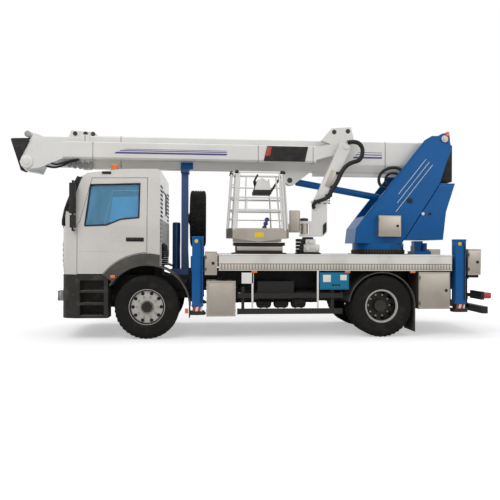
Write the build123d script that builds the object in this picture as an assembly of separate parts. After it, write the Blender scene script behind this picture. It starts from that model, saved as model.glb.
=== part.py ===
"""Truck-mounted aerial work platform: separate subcomponents in one frame.

Built in millimetres with X rearward from the front axle, Y to the truck's right and Z up from the
ground, then moved along X so that the origin is under the middle of the whole machine.
"""
import math
import os

from build123d import *

# Driving dimensions, in millimetres and degrees.
WHEELBASE = 3900
TYRE_R = 522
TYRE_W = 295
TYRE_BORE_R = 300
FRONT_TRACK_Y = 1085
KINGPIN_Y = 960
KINGPIN_R = 28
REAR_OUTER_Y = 1090
REAR_INNER_Y = 755
HALF_WIDTH = 1250
SPARE = (797, 320, 2037)
AXLE_R = 85
RUN_FIT = 0.05
SEAT_DEPTH = 6
SEAT_GAP = 0.3
X_FRONT = -2446
REAR_OVERHANG = 1930
X_REAR = WHEELBASE + REAR_OVERHANG
X_SHIFT = -(X_FRONT + X_REAR) / 2

RAIL_Y = (380, 460)
RAIL_Z = (760, 1020)
SUBFRAME_TOP = 1120
DECK_X = (1163, WHEELBASE + 1208)
DECK_TOP = 1385
DECK_LIP_BOTTOM = 1122

CAB_BOTTOM = 1055
CAB_REAR = 205
CAB_WALL = 45
CAB_FLOOR = (1225, 1260)
DOOR_GAP = 8
ARCH_R = 700
REAR_ARCH_R = 575
DOOR_HINGE = (-1098, HALF_WIDTH + 4)
DOOR_IN = HALF_WIDTH - 250
PAST_SIDE = HALF_WIDTH + 150
SIDE_INSET = 10

SLEW_X = WHEELBASE + 240
RING_R = 487
TURRET_Y = 420
BOOM_PIVOT = (WHEELBASE + 1365, 3496)
BOOM_PIN_R = 50
BOOM_Y = 170
BOOM_Z = (2900, 3460)
BOOM_FRONT = -1900
COLLAR_X = (-1250, -1100)
TIP_PIN = (-2100, 2946)
TIP_PIN_R = 60
JIB_Y = (-450, -200)
JIB_Z = (3020, 3315)
JIB_END = 2900
NECK_PIVOT = (JIB_END + 500, 3300)
NECK_PIN_R = 40
NECK_Y = (-630, -490)
ROTATOR = (JIB_END - 235, -560)
ROTATOR_PIN_R = 40
CYL_BASE = (WHEELBASE + 720, 2367)
CYL_EYE = (WHEELBASE - 1437, 2734)
CYL_R = 62
ROD_R = 42
CYL_PIN_R = 45
BASKET_X = (ROTATOR[0] - 1375, ROTATOR[0] - 345)
BASKET_Y = (-1190, -500)
BASKET_Z = (1595, 2775)
RAIL_R = 20
LEG_W = 180
LEG_Y = (HALF_WIDTH - 190, HALF_WIDTH)
LEG_WALL = 12


def box(x, y, z):
    """Block between the pairs x, y and z."""
    size = [b - a for a, b in (x, y, z)]
    middle = [(a + b) / 2 for a, b in (x, y, z)]
    return Pos(*middle) * Box(*size)


def slab(points, y):
    """Outline in X and Z carried across the pair y."""
    wire = Polyline([(px, y[0], pz) for px, pz in points], close=True)
    return extrude(make_face(wire), y[1] - y[0], dir=(0, 1, 0))


def across(x, z, radius, y):
    """Round bar along Y."""
    return Pos(x, (y[0] + y[1]) / 2, z) * Rot(90, 0, 0) * Cylinder(radius, y[1] - y[0])


def upright(x, y, radius, z):
    """Round bar along Z."""
    return Pos(x, y, (z[0] + z[1]) / 2) * Cylinder(radius, z[1] - z[0])


def bar(start, end, radius):
    """Round bar between two points."""
    a, b = Vector(*start), Vector(*end)
    way = b - a
    return Plane(origin=(a + b) / 2, z_dir=way.normalized()) * Cylinder(radius, way.length)


def tube(points, radius):
    """Bent round rail: straight bars with a ball at each bend."""
    rail = bar(points[0], points[1], radius)
    for a, b in zip(points[1:], points[2:]):
        rail = rail + Pos(*a) * Sphere(radius) + bar(a, b, radius)
    return rail


def join(shapes):
    """Union of a list of shapes."""
    total = shapes[0]
    for shape in shapes[1:]:
        total = total + shape
    return total


def both(shape):
    """The shape and its mirror image on the other side of the truck."""
    return shape + mirror(shape, Plane.XZ)


def turned(profile, x, y, z):
    """Outline of (radius, offset along Y) spun about a Y axis through x, y, z."""
    wire = Polyline([(x + r, y + w, z) for r, w in profile], close=True)
    return revolve(make_face(wire), Axis((x, y, z), (0, 1, 0)))


def arc_band(x, z, inner, outer, low_deg, high_deg, y):
    """Part of a ring about a Y axis, from low_deg to high_deg above the rearward direction."""
    ring = across(x, z, outer, y) - across(x, z, inner, (y[0] - 1, y[1] + 1))
    far = 3 * outer
    a, b = math.radians(low_deg), math.radians(high_deg)
    mid = (a + b) / 2
    fan = [(x, z)]
    fan += [(x + far * math.cos(t), z + far * math.sin(t)) for t in (a, mid, b)]
    return ring & slab(fan, (y[0] - 1, y[1] + 1))


def moved(points, x):
    """Outline in X and Z moved along X."""
    return [(px + x, pz) for px, pz in points]


def tyre(x, y, z):
    half = TYRE_W / 2
    side = [(TYRE_BORE_R, half - 40), (400, half), (488, half - 10), (TYRE_R, half - 48)]
    return turned(side + [(r, -w) for r, w in reversed(side)], x, y, z)


def rim(x, y, z, disc, out):
    """Wheel rim with its disc at the offset disc from the middle; out is the outward direction."""
    half = TYRE_W / 2 - 40
    barrel = turned([(282, -half), (TYRE_BORE_R, -half), (TYRE_BORE_R, half), (282, half)], x, y, z)
    lip = [(282, half), (TYRE_BORE_R, half), (312, half + 7), (312, half + 16), (282, half + 16)]
    flanges = turned(lip, x, y, z) + turned([(r, -w) for r, w in reversed(lip)], x, y, z)
    d = disc * out
    plate = turned([(75, d - 7), (283, d - 7), (283, d + 7), (75, d + 7)], x, y, z)
    for k in range(10):
        angle = math.radians(36 * k)
        hole = across(x + 228 * math.cos(angle), z + 228 * math.sin(angle), 30, (y + d - 20, y + d + 20))
        plate = plate - hole
    return barrel + flanges + plate


def front_wheel(side):
    y = side * FRONT_TRACK_Y
    wheel_rim = rim(0, y, TYRE_R, 70, side)
    hub = across(0, TYRE_R, 140, sorted((y - side * 20, y + side * 77)))
    hub += across(0, TYRE_R, 92, sorted((y + side * 77, y + side * 125)))
    bore = across(0, TYRE_R, 40 + RUN_FIT, sorted((y - side * 40, y + side * 60)))
    return tyre(0, y, TYRE_R), wheel_rim + hub - bore


def knuckle(side):
    y = side * KINGPIN_Y
    body = box((-70, 70), sorted((y + side * 57, y + side * 90)), (TYRE_R - 130, TYRE_R + 130))
    for z in ((TYRE_R - 130, TYRE_R - 82), (TYRE_R + 82, TYRE_R + 130)):
        body += box((-55, 55), sorted((y - side * 50, y + side * 57)), z)
    body -= upright(0, y, KINGPIN_R + RUN_FIT, (TYRE_R - 140, TYRE_R + 140))
    spindle_end = side * (FRONT_TRACK_Y + 50)
    body += across(0, TYRE_R, 40, sorted((y + side * 80, spindle_end)))
    arm = box((50, 240), sorted((y + side * 10, y + side * 50)), (TYRE_R - 128, TYRE_R - 92))
    return body + arm


def front_axle():
    beam = box((-60, 60), (-KINGPIN_Y + 45, KINGPIN_Y - 45), (TYRE_R - 75, TYRE_R + 55))
    beam = beam - box((-61, 61), (-640, 640), (TYRE_R - 10, TYRE_R + 60))
    beam = beam + box((-60, 60), (-640, 640), (TYRE_R - 160, TYRE_R - 10)) - box(
        (-61, 61), (-500, 500), (TYRE_R - 60, TYRE_R - 9))
    for side in (-1, 1):
        y = side * KINGPIN_Y
        beam += upright(0, y, 52, (TYRE_R - 78, TYRE_R + 78))
        beam += upright(0, y, KINGPIN_R, (TYRE_R - 130, TYRE_R + 130))
    return beam


def rear_axle():
    x = WHEELBASE
    casing = across(x, TYRE_R, AXLE_R, (-600, 600)) + Pos(x, 0, TYRE_R) * Sphere(215)
    casing += bar((x - 180, 0, TYRE_R + 20), (x - 330, 0, TYRE_R + 45), 70)
    for side in (-1, 1):
        casing += across(x, TYRE_R, 55, sorted((side * 590, side * 1080)))
    return casing


def rear_wheel(side):
    x = WHEELBASE
    outer, inner = side * REAR_OUTER_Y, side * REAR_INNER_Y
    tyres = tyre(x, outer, TYRE_R) + tyre(x, inner, TYRE_R)
    rims = rim(x, outer, TYRE_R, -100, side) + rim(x, inner, TYRE_R, 100, side)
    mid = (outer + inner) / 2
    hub = across(x, TYRE_R, 150, sorted((mid - side * 150, mid + side * 90)))
    hub += across(x, TYRE_R, 100, sorted((mid + side * 90, mid + side * 200)))
    hub += across(x, TYRE_R, 76, sorted((mid - side * 75, mid + side * 75)))
    bore = across(x, TYRE_R, 55 + RUN_FIT, sorted((mid - side * 160, side * 1085)))
    return tyres, rims + hub - bore


def frame():
    rails = []
    end = WHEELBASE + 1750
    for side in (-1, 1):
        outer = box((-1330, end), sorted((side * RAIL_Y[0], side * RAIL_Y[1])), RAIL_Z)
        hollow = box((-1331, end + 1), sorted((side * (RAIL_Y[0] - 1), side * (RAIL_Y[1] - 12))),
                     (RAIL_Z[0] + 12, RAIL_Z[1] - 12))
        rails.append(outer - hollow)
    for x in (-1110, 1010, 1700, 2500, WHEELBASE - 650, WHEELBASE + 650, end - 90):
        rails.append(box((x, x + 90), (-RAIL_Y[1] + 12, RAIL_Y[1] - 12), (RAIL_Z[0] + 90, RAIL_Z[1] - 12)))
    return join(rails)


def springs():
    leaves = []
    for x, span, y, z, seat in ((0, 760, 560, 625, TYRE_R - 10), (WHEELBASE, 760, 530, 660, TYRE_R + 60)):
        pack = box((x - span, x + span), (y - 40, y + 40), (z + 80, z + 105))
        pack += box((x - span * 0.75, x + span * 0.75), (y - 40, y + 40), (z + 55, z + 80))
        pack += box((x - span * 0.5, x + span * 0.5), (y - 40, y + 40), (z + 30, z + 55))
        pack += box((x - 58, x + 58), (y - 45, y + 45), (seat, z + 30))
        for end in (-1, 1):
            hanger = box(sorted((x + end * (span - 70), x + end * span)), (RAIL_Y[1], y + 40), (z + 105, z + 190))
            pack += hanger
        leaves.append(both(pack))
    return join(leaves) - across(WHEELBASE, TYRE_R, AXLE_R, (-600, 600))


def driveline():
    engine = box((-1000, 180), (-330, 330), (560, 1180))
    gearbox = box((180, 900), (-220, 220), (600, 980))
    feet = both(box((-700, -600), (330, RAIL_Y[1] - 12), (800, 860)) + box((700, 780), (220, RAIL_Y[1] - 12), (800, 860)))
    return engine + gearbox + feet


def prop_shaft():
    return bar((902, 0, 780), (WHEELBASE - 340, 0, TYRE_R + 47), 55)


SIDE_VIEW = ((-1330, 850), (-1330, 1055), (-1440, 1300), (-1425, 1560), (-1400, 1790), (-1110, 2600),
             (-960, 2700), (-420, 2780), (150, 2795), (205, 2760), (205, 850))
FRONT_VIEW = ((-HALF_WIDTH, 850), (-HALF_WIDTH, 1850), (80 - HALF_WIDTH, 2640), (190 - HALF_WIDTH, 2790), (0, 2830),
              (HALF_WIDTH - 190, 2790), (HALF_WIDTH - 80, 2640), (HALF_WIDTH, 1850), (HALF_WIDTH, 850))


def plan_lines(rear):
    """Edges of the cab's plan from the rear station round the nose."""
    w = HALF_WIDTH
    corner = [(rear, w), (-1120, w), (-1290, w - 60), (-1350, w - 170)]
    nose = ThreePointArc((-1350, w - 170, 0), (-1450, 0, 0), (-1350, 170 - w, 0))
    lines = [Line((ax, ay, 0), (bx, by, 0)) for (ax, ay), (bx, by) in zip(corner, corner[1:])]
    lines += [Line((ax, -ay, 0), (bx, -by, 0)) for (ax, ay), (bx, by) in zip(corner, corner[1:])]
    return lines + [nose, Line((rear, w, 0), (rear, -w, 0))]


def cab_body(inset, bottom=CAB_BOTTOM):
    """The cab's outer form, moved inwards by inset on every side and cut off at bottom."""
    side_face = make_face(Polyline([(px, 0, pz) for px, pz in SIDE_VIEW], close=True))
    front_face = make_face(Polyline([(0, py, pz) for py, pz in FRONT_VIEW], close=True))
    plan_face = make_face(plan_lines(CAB_REAR))
    if inset:
        side_face = offset(side_face, -inset, kind=Kind.INTERSECTION)
        front_face = offset(front_face, -inset, kind=Kind.INTERSECTION)
        plan_face = offset(plan_face, -inset, kind=Kind.INTERSECTION)
    form = Pos(0, -PAST_SIDE, 0) * extrude(side_face, 2 * PAST_SIDE, dir=(0, 1, 0))
    form = form & (Pos(-2000, 0, 0) * extrude(front_face, 4000, dir=(1, 0, 0)))
    form = form & extrude(plan_face, 4000, dir=(0, 0, 1))
    return form & box((-2000, 1000), (-PAST_SIDE, PAST_SIDE), (bottom, 3000))


DOOR = ((-1100, 1063), (-1100, 1850), (-1062, 1900), (-880, 2610), (-5, 2625), (-5, 1063))
DOOR_WINDOW = ((-985, 1835), (-905, 2500), (-125, 2530), (-135, 1975), (-420, 1945), (-640, 1850))
SCREEN = ((70 - HALF_WIDTH, 1830), (210 - HALF_WIDTH, 2560), (HALF_WIDTH - 210, 2560), (HALF_WIDTH - 70, 1830))
REAR_WINDOW = ((-560, 2080), (-560, 2480), (560, 2480), (560, 2080))


def grown(points, gap):
    """Outline in X and Z moved outwards by gap, as a list of corners."""
    face = offset(make_face(Polyline([(px, 0, pz) for px, pz in points], close=True)), gap,
                  kind=Kind.INTERSECTION)
    return slab_face(face)


def slab_face(face):
    return Pos(0, -PAST_SIDE, 0) * extrude(face, 2 * PAST_SIDE, dir=(0, 1, 0))


def along_x(points, x):
    """Outline in Y and Z carried along the pair x."""
    wire = Polyline([(x[0], py, pz) for py, pz in points], close=True)
    return extrude(make_face(wire), x[1] - x[0], dir=(1, 0, 0))


def cab():
    outer, inner = cab_body(0), cab_body(CAB_WALL, 900)
    shell = outer - inner
    wheel_space = across(0, TYRE_R, ARCH_R, (-PAST_SIDE, PAST_SIDE))
    shell -= wheel_space
    door_hole = grown(DOOR, DOOR_GAP)
    arch_band = across(0, TYRE_R, 880, (-PAST_SIDE, PAST_SIDE))
    door_walls = both(box((-2000, 1000), (DOOR_IN, PAST_SIDE), (900, 3000)))
    door_cut = (door_hole & door_walls) - arch_band
    screen_cut = along_x(SCREEN, (-1700, -900))
    rear_cut = along_x(REAR_WINDOW, (100, 300))
    doors_raw = (shell & slab(DOOR, (-PAST_SIDE, PAST_SIDE))) & door_walls
    doors_raw -= across(0, TYRE_R, 880 + DOOR_GAP, (-PAST_SIDE, PAST_SIDE))
    shell = shell - door_cut - screen_cut - rear_cut
    skin = cab_body(18) - cab_body(24)
    window = slab(DOOR_WINDOW, (-PAST_SIDE, PAST_SIDE))
    doors = doors_raw - window
    left = doors & box((-2000, 1000), (-PAST_SIDE, 0), (900, 3000))
    right = doors & box((-2000, 1000), (0, PAST_SIDE), (900, 3000))
    pane = skin & window
    left_pane = pane & box((-2000, 1000), (-PAST_SIDE, -DOOR_IN), (900, 3000))
    right_pane = pane & box((-2000, 1000), (DOOR_IN, PAST_SIDE), (900, 3000))
    screen = skin & screen_cut
    rear_pane = skin & rear_cut
    floor = cab_body(CAB_WALL, 900) & box((-2000, 1000), (-PAST_SIDE, PAST_SIDE), CAB_FLOOR)
    return shell, left, right, left_pane, right_pane, screen + rear_pane, floor


def cab_inside():
    seats = []
    for y in (-640, 620):
        seats.append(box((-560, -60), (y - 240, y + 240), (1420, 1540)))
        seats.append(slab(((-120, 1540), (0, 1540), (90, 2150), (-10, 2150)), (y - 230, y + 230)))
        seats.append(slab(((-30, 2150), (70, 2150), (95, 2330), (20, 2330)), (y - 130, y + 130)))
        seats.append(box((-480, -120), (y - 180, y + 180), (CAB_FLOOR[1], 1420)))
    dash = slab(((-1400, 1450), (-1400, 1770), (-1140, 1800), (-1000, 1700), (-1020, 1450)), (100 - HALF_WIDTH, HALF_WIDTH - 100))
    dash = dash & cab_body(CAB_WALL)
    tunnel = box((-700, 150), (-290, 290), (CAB_FLOOR[1], 1400))
    wheel = Pos(-830, -640, 1790) * Rot(0, -35, 0) * Torus(215, 17)
    column = bar((-830, -640, 1790), (-1030, -640, 1560), 30)
    hub = Pos(-830, -640, 1790) * Rot(0, -35, 0) * Box(60, 440, 14)
    return join(seats), dash + column + wheel + hub, tunnel


def bumper():
    block = Pos(0, 0, 350) * extrude(make_face(plan_lines(-615)), 700, dir=(0, 0, 1))
    block -= box((-1180, 0), (370 - HALF_WIDTH, HALF_WIDTH - 370), (340, 1060))
    block -= box((-1330, 0), (-470, 470), (340, 1060))
    steps = []
    for z, depth in ((395, 230), (595, 200), (795, 170)):
        steps.append(box((-1060, -680), (HALF_WIDTH - depth, HALF_WIDTH + 150), (z, z + 165)))
    return block - both(join(steps))


def mudguards():
    guards = []
    for side in (-1, 1):
        y = sorted((side * 800, side * (HALF_WIDTH + 5)))
        guards.append(arc_band(0, TYRE_R, ARCH_R - 24, ARCH_R, 0, 149, y))
        lip = sorted((side * (HALF_WIDTH + 2), side * (HALF_WIDTH + 12)))
        band = arc_band(0, TYRE_R, ARCH_R - 24, 872, 27, 143, lip)
        guards.append(band & box((-2000, CAB_REAR), (-1600, 1600), (0, 3000)))
        flap_y = sorted((side * 800, side * (HALF_WIDTH - 10)))
        guards.append(box((ARCH_R - 24, ARCH_R - 8), flap_y, (345, TYRE_R)))
        y = sorted((side * 600, side * HALF_WIDTH))
        guards.append(arc_band(WHEELBASE, TYRE_R, REAR_ARCH_R - 15, REAR_ARCH_R, 0, 172, y))
        flap = (WHEELBASE + REAR_ARCH_R - 15, WHEELBASE + REAR_ARCH_R)
        guards.append(box(flap, sorted((side * 620, side * (HALF_WIDTH - 10))), (90, TYRE_R)))
    return guards


def cab_trim():
    """Mirrors with their arms, and the roof beacon."""
    mirrors = []
    for side in (-1, 1):
        y = side * (HALF_WIDTH + 80)
        housing = Pos(-1160, y, 2270) * Box(90, 150, 480)
        housing = fillet(housing.edges().filter_by(Axis.Z), 30)
        lower = Pos(-1155, y, 1900) * Box(80, 140, 200)
        mirrors.append(housing + fillet(lower.edges().filter_by(Axis.Z), 30))
        for z in (2545, 1760):
            mirrors.append(bar((-1150, side * (HALF_WIDTH - 170), z), (-1160, y, z), 14))
        mirrors.append(bar((-1160, y, 2545), (-1160, y, 1760), 14))
        mirrors.append(Pos(-1160, y, 2545) * Sphere(14))
        mirrors.append(Pos(-1160, y, 1760) * Sphere(14))
    beacon = upright(-575, -800, 68, (2700, 2800)) + upright(-575, -800, 60, (2800, 2885))
    beacon = fillet(beacon.edges().group_by(Axis.Z)[-1], 25)
    outer = cab_body(0)
    return join(mirrors) - outer, beacon - outer


def bearers():
    """Stations of the deck's cross bearers."""
    return range(int(DECK_X[0]) + 40, int(DECK_X[1]) - 60, 545)


def deck():
    floor = box(DECK_X, (-HALF_WIDTH, HALF_WIDTH), (DECK_TOP - 40, DECK_TOP))
    for side in (-1, 1):
        lip = sorted((side * (HALF_WIDTH - 30), side * HALF_WIDTH))
        floor += box(DECK_X, lip, (DECK_LIP_BOTTOM, DECK_TOP - 40))
        for x in bearers():
            bearer = sorted((side * 300, side * (HALF_WIDTH - 30)))
            floor += box((x, x + 50), bearer, (SUBFRAME_TOP + 120, DECK_TOP - 40))
    floor -= box((SLEW_X - 520, SLEW_X + 520), (-530, 530), (1000, DECK_TOP + 10))
    for x, y in deck_seats():
        floor -= box((x[0] - 2, x[1] + 2), (y[0] - 2, y[1] + 2), (DECK_TOP - SEAT_DEPTH, DECK_TOP + 10))
    return floor


def deck_seats():
    """X and Y of the shallow seats that the basket's frame, the arm's block and the pump stand in."""
    frame = (BASKET_X[0] + 90, BASKET_X[1] - 20), (BASKET_Y[0] + 110, BASKET_Y[1] - 120)
    block = (ROTATOR[0] - 150, ROTATOR[0] + 280), (ROTATOR[1] - 140, ROTATOR[1] + 120)
    pump = (DECK_X[1] - 350, DECK_X[1] - 30), (-260, 140)
    return frame, block, pump


def subframe():
    beams = both(box((640, WHEELBASE + 1700), RAIL_Y, (RAIL_Z[1], SUBFRAME_TOP)))
    for x in bearers():
        if abs(x + 25 - SLEW_X) > 520:
            beams += both(box((x, x + 50), (300, 460), (SUBFRAME_TOP, SUBFRAME_TOP + 120)))
    base = box((SLEW_X - 470, SLEW_X + 470), (-470, 470), (SUBFRAME_TOP, DECK_TOP + 15))
    base += box((SLEW_X - 470, SLEW_X + 470), (-RAIL_Y[0], RAIL_Y[0]), (RAIL_Z[1], SUBFRAME_TOP))
    base += upright(SLEW_X, 0, RING_R, (DECK_TOP + 15, DECK_TOP + 90))
    return beams + base


def deck_gear():
    """Valve block and pump that stand on the deck behind the turret."""
    length, width = deck_seats()[2]
    x = length[0]
    gear = box(length, width, (DECK_TOP - SEAT_DEPTH, DECK_TOP + 65))
    gear += box((x + 30, x + 150), (-200, 60), (DECK_TOP + 65, DECK_TOP + 165))
    return gear + upright(x + 235, -100, 60, (DECK_TOP + 65, DECK_TOP + 215))


OUTRIGGER_Z = (1135, 1335)
# name, leg middle along X, sleeve bottom and top, foot bottom
OUTRIGGERS = (("front", 815, 532, 1674, 393), ("rear", WHEELBASE + 1365, 554, 1652, 418))
BEAM_W = 100


def outrigger_house(x):
    """Cross box with one chamber for each side's beam."""
    reach = LEG_Y[0] - 20
    house = box((x - 118, x + 118), (-reach, reach), (OUTRIGGER_Z[0] - 15, OUTRIGGER_Z[1] + 15))
    for low in (x - 105, x + 5):
        chamber = (low - SEAT_GAP, low + BEAM_W + SEAT_GAP)
        house -= box(chamber, (-reach - 1, reach + 1), (OUTRIGGER_Z[0] - SEAT_GAP, OUTRIGGER_Z[1] + SEAT_GAP))
    return house


def outrigger_beam(x, side, bottom, top):
    """Sliding beam with the leg's sleeve at its outer end."""
    low = x - 105 if side < 0 else x + 5
    y = sorted((side * (210 - LEG_Y[0]), side * (LEG_Y[0] + 2)))
    beam = box((low, low + BEAM_W), y, OUTRIGGER_Z)
    leg_y = sorted((side * LEG_Y[0], side * LEG_Y[1]))
    sleeve = box((x - LEG_W / 2, x + LEG_W / 2), leg_y, (bottom, top))
    hollow = sorted((side * (LEG_Y[0] + LEG_WALL), side * (LEG_Y[1] - LEG_WALL)))
    inside = LEG_W / 2 - LEG_WALL
    return beam + sleeve - box((x - inside, x + inside), hollow, (bottom - 1, top - 30))


def outrigger_jack(x, side, bottom, foot):
    fit = LEG_WALL + SEAT_GAP
    y = sorted((side * (LEG_Y[0] + fit), side * (LEG_Y[1] - fit)))
    jack = box((x - LEG_W / 2 + fit, x + LEG_W / 2 - fit), y, (foot + 60, bottom + 620))
    return jack, box((x - 115, x + 115), sorted((side * (LEG_Y[0] - 15), side * (LEG_Y[1] + 15))), (foot, foot + 60))


def boom_rest():
    post = box((500, 625), (-70, 70), (SUBFRAME_TOP, 2840))
    post += box((330, 640), (-RAIL_Y[1], RAIL_Y[1]), (RAIL_Z[1], SUBFRAME_TOP))
    post += box((490, 640), (-170, 170), (2840, BOOM_Z[0] - SEAT_GAP))
    post += slab(((625, 1120), (625, 1500), (640, 1120)), (-60, 60))
    post += box((500, 625), (70, 440), (1960, 2110))
    post += Pos((625 + 730) / 2, SPARE[1], SPARE[2]) * Rot(0, 90, 0) * Cylinder(110, 105)
    tank = upright(405, 150, 72, (SUBFRAME_TOP, 1960))
    return post + fillet(tank.edges().group_by(Axis.Z)[-1], 30)


def spare():
    x, y, z = SPARE
    raw = tyre(0, 0, 0)
    ring = Pos(x, y, z) * Rot(0, 0, 90) * raw
    wheel = Pos(x, y, z) * Rot(0, 0, 90) * rim(0, 0, 0, 60, 1)
    return ring, wheel


def side_boxes():
    """Steel lockers and tanks, the battery box and the blue panel."""
    face = SIDE_INSET - HALF_WIDTH
    steel = box((933, 1130), (face, face + 240), (1046, 1430))
    tank = box((961, 1437), (face, -620), (365, 948))
    locker = box((WHEELBASE + 632, WHEELBASE + 1177), (face, -640), (470, 1098))
    rear = box((WHEELBASE + 1495, WHEELBASE + 1722), (face, -760), (1048, 1490))
    battery = box((1806, 2419), (face + 110, -560), (640, 936))
    panel = box((WHEELBASE - 1062, WHEELBASE - 570), (face - 6, face + 24), (805, 1089))
    return steel + both(tank + locker + rear), battery, panel


def brackets():
    """Black carriers between the frame rails and the lockers, tank, guards and lamps."""
    arms = []
    # middle along X, outer reach, bottom, top
    table = ((1080, 620, 790, 830), (1330, 620, 790, 830), (WHEELBASE + 820, 640, 790, 830),
             (WHEELBASE + 1060, 640, 790, 830), (1900, 580, 790, 830), (2320, 580, 790, 830))
    for x, reach, low, high in table:
        arms.append(both(box((x - 30, x + 30), (RAIL_Y[1], reach), (low, high))))
    out = HALF_WIDTH - 50
    for x in (1560, WHEELBASE - 840):
        arms.append(both(box((x - 25, x + 25), (RAIL_Y[1], out), (800, 850))))
        arms.append(both(box((x - 25, x + 25), (out - 40, out), (400, 800))))
    arms.append(both(box((WHEELBASE - 1040, WHEELBASE - 980), (RAIL_Y[1], HALF_WIDTH - 34), (900, 950))))
    tail = (WHEELBASE + 1520, WHEELBASE + 1700)
    arms.append(both(box(tail, (RAIL_Y[1], 760), (960, 1048))))
    arms.append(both(box(tail, (740, out), (1000, 1048))))
    arch = (WHEELBASE - 20, WHEELBASE + 30)
    arms.append(both(box(arch, (RAIL_Y[1], out), (TYRE_R + REAR_ARCH_R, SUBFRAME_TOP))))
    guard = box((555, 635), (RAIL_Y[1], 1000), (900, 950)) - across(0, TYRE_R, ARCH_R, (0, 1400))
    arms.append(both(guard))
    for x in (-1000, 60):
        arms.append(both(box((x, x + 80), RAIL_Y, (RAIL_Z[1], CAB_FLOOR[0]))))
    return join(arms) + stowage()


def stowage():
    """Frame under the folded basket and block under its arm, both on the deck."""
    (low, high), width = deck_seats()[0]
    foot, top = DECK_TOP - SEAT_DEPTH, BASKET_Z[0] - 10
    waist = ((low, foot), (low, foot + 30), (low + 70, foot + 40), (low + 70, top - 60), (low + 30, top - 50),
             (low + 30, top))
    rest = slab(waist + tuple((low + high - x, z) for x, z in reversed(waist)), width)
    rest -= box((low - 10, high + 10), (width[0] + 90, width[1] - 90), (foot + 60, top - 70))
    (low, high), width = deck_seats()[1]
    middle = (low + high) / 2
    stand = ((low, foot), (low, foot + 34), (middle - 150, foot + 60), (middle - 125, 1560), (middle - 85, 1690))
    block = slab(stand + tuple((2 * middle - x, z) for x, z in reversed(stand)), (width[0] + 70, width[1] - 50))
    return rest + block + box((low, high), width, (foot, foot + 34))


def guards():
    """Side guard rails and the rear underrun bar with its lamps' plates."""
    rails = []
    out = HALF_WIDTH - 50
    for low, high in ((665, 748), (400, 491)):
        rails.append(both(box((1477, WHEELBASE - 688), (out, out + 40), (low, high))))
    x = WHEELBASE + 1750
    under = box((x + 40, x + 140), (50 - out, out - 50), (380, 500))
    under += both(box((x, x + 50), RAIL_Y, (430, 1000)))
    under += both(box((x, x + 50), (700, out), (620, 760)))
    under += both(box((x, x + 50), (460, 710), (640, 700)))
    return join(rails), under


def lamps():
    rear = both(box((WHEELBASE + 1800, X_REAR), (HALF_WIDTH - 430, HALF_WIDTH - 60), (640, 745)))
    front = both(box((-1452, -1300), (HALF_WIDTH - 550, HALF_WIDTH - 240), (620, 780)))
    return rear, front


# Outlines of the turret's side plate and of the counterweight, from the slew axis.
CHEEK = ((-540, 1590), (-509, 1862), (-345, 2080), (763, 3475), (894, 3553), (1214, 3553), (1268, 3300),
         (1180, 3100), (1048, 2696), (379, 1651), (340, 1590))
WEIGHT = ((393, 1655), (1102, 1657), (1157, 2167), (1324, 2689), (1062, 2689))


def turret():
    ring = upright(SLEW_X, 0, RING_R - 12, (DECK_TOP + 90 + SEAT_GAP, 1590))
    foot = moved(((-540, 1590), (-509, 1862), (-345, 2080), (240, 2080), (360, 1590)), SLEW_X)
    body = ring + slab(foot, (20 - TURRET_Y, TURRET_Y - 20))
    cheek = moved(CHEEK, SLEW_X)
    body += both(slab(cheek, (TURRET_Y - 40, TURRET_Y)))
    px, pz = BOOM_PIVOT
    body += both(across(px, pz, 110, (BOOM_Y + 6, TURRET_Y)))
    body += across(px, pz, BOOM_PIN_R, (-TURRET_Y - 15, TURRET_Y + 15))
    bx, bz = CYL_BASE
    body += both(across(bx, bz, 80, (85, TURRET_Y)))
    body += across(bx, bz, CYL_PIN_R, (-TURRET_Y, TURRET_Y))
    tongue = box((SLEW_X + 300, SLEW_X + 700), (-300, 300), (1740, 2100))
    body += tongue
    weight = slab(moved(WEIGHT, SLEW_X), (-TURRET_Y - 20, TURRET_Y + 20)) - body
    controls = box((SLEW_X - 126, SLEW_X + 281), (-TURRET_Y - 140, -TURRET_Y), (1713, 2085))
    return body, weight, controls


def beam_section(middle, half, z, bevel, foot):
    """Outline in Y and Z of a box beam whose lower corners are bevelled."""
    low, high = z
    right = [(half, low + bevel), (half, high - 15), (half - 15, high)]
    outline = [(foot, low)] + right + [(-y, h) for y, h in reversed(right)] + [(-foot, low)]
    return [(middle + y, h) for y, h in outline]


def boom():
    px, pz = BOOM_PIVOT
    low, high = BOOM_Z
    body = along_x(beam_section(0, BOOM_Y, BOOM_Z, 130, 105), (COLLAR_X[1], px + 140))
    inner = beam_section(0, BOOM_Y - 22, (low + 22, high - 22), 115, 90)
    body += along_x(inner, (BOOM_FRONT, COLLAR_X[1]))
    collar = beam_section(0, BOOM_Y + 15, (low - 12, high + 18), 130, 112)
    body += along_x(collar, COLLAR_X)
    x = COLLAR_X[0]
    top = ((x - 240, high - 30), (x - 190, high + 106), (x + 200, high + 85), (x + 340, high - 30))
    body += slab(top, (-70, 70))
    body += box((px - 105, px + 105), (-BOOM_Y, BOOM_Y), (high - 5, pz + 89))
    body += box((px + 20, px + 245), (5 - BOOM_Y, BOOM_Y - 5), (low - 155, high - 30))
    ex, ez = CYL_EYE
    body += box((ex + 57, px - 645), (-70, 70), (low - 70, low + 5))
    lug = ((ex - 123, low + 5), (ex - 83, ez - 34), (ex - 13, ez - 84), (ex + 77, ez - 74), (ex + 397, low + 5))
    body -= box((ex - 163, ex + 437), (-75, 75), (low - 300, low))
    body += slab(lug, (-110, -75)) + slab(lug, (75, 110))
    body += slab(((497, low + 2), (497, low + 112), (704, low + 112), (704, low + 2)), (-BOOM_Y - 2, -80))
    return body - across(px, pz, BOOM_PIN_R + RUN_FIT, (-300, 300))


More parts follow.
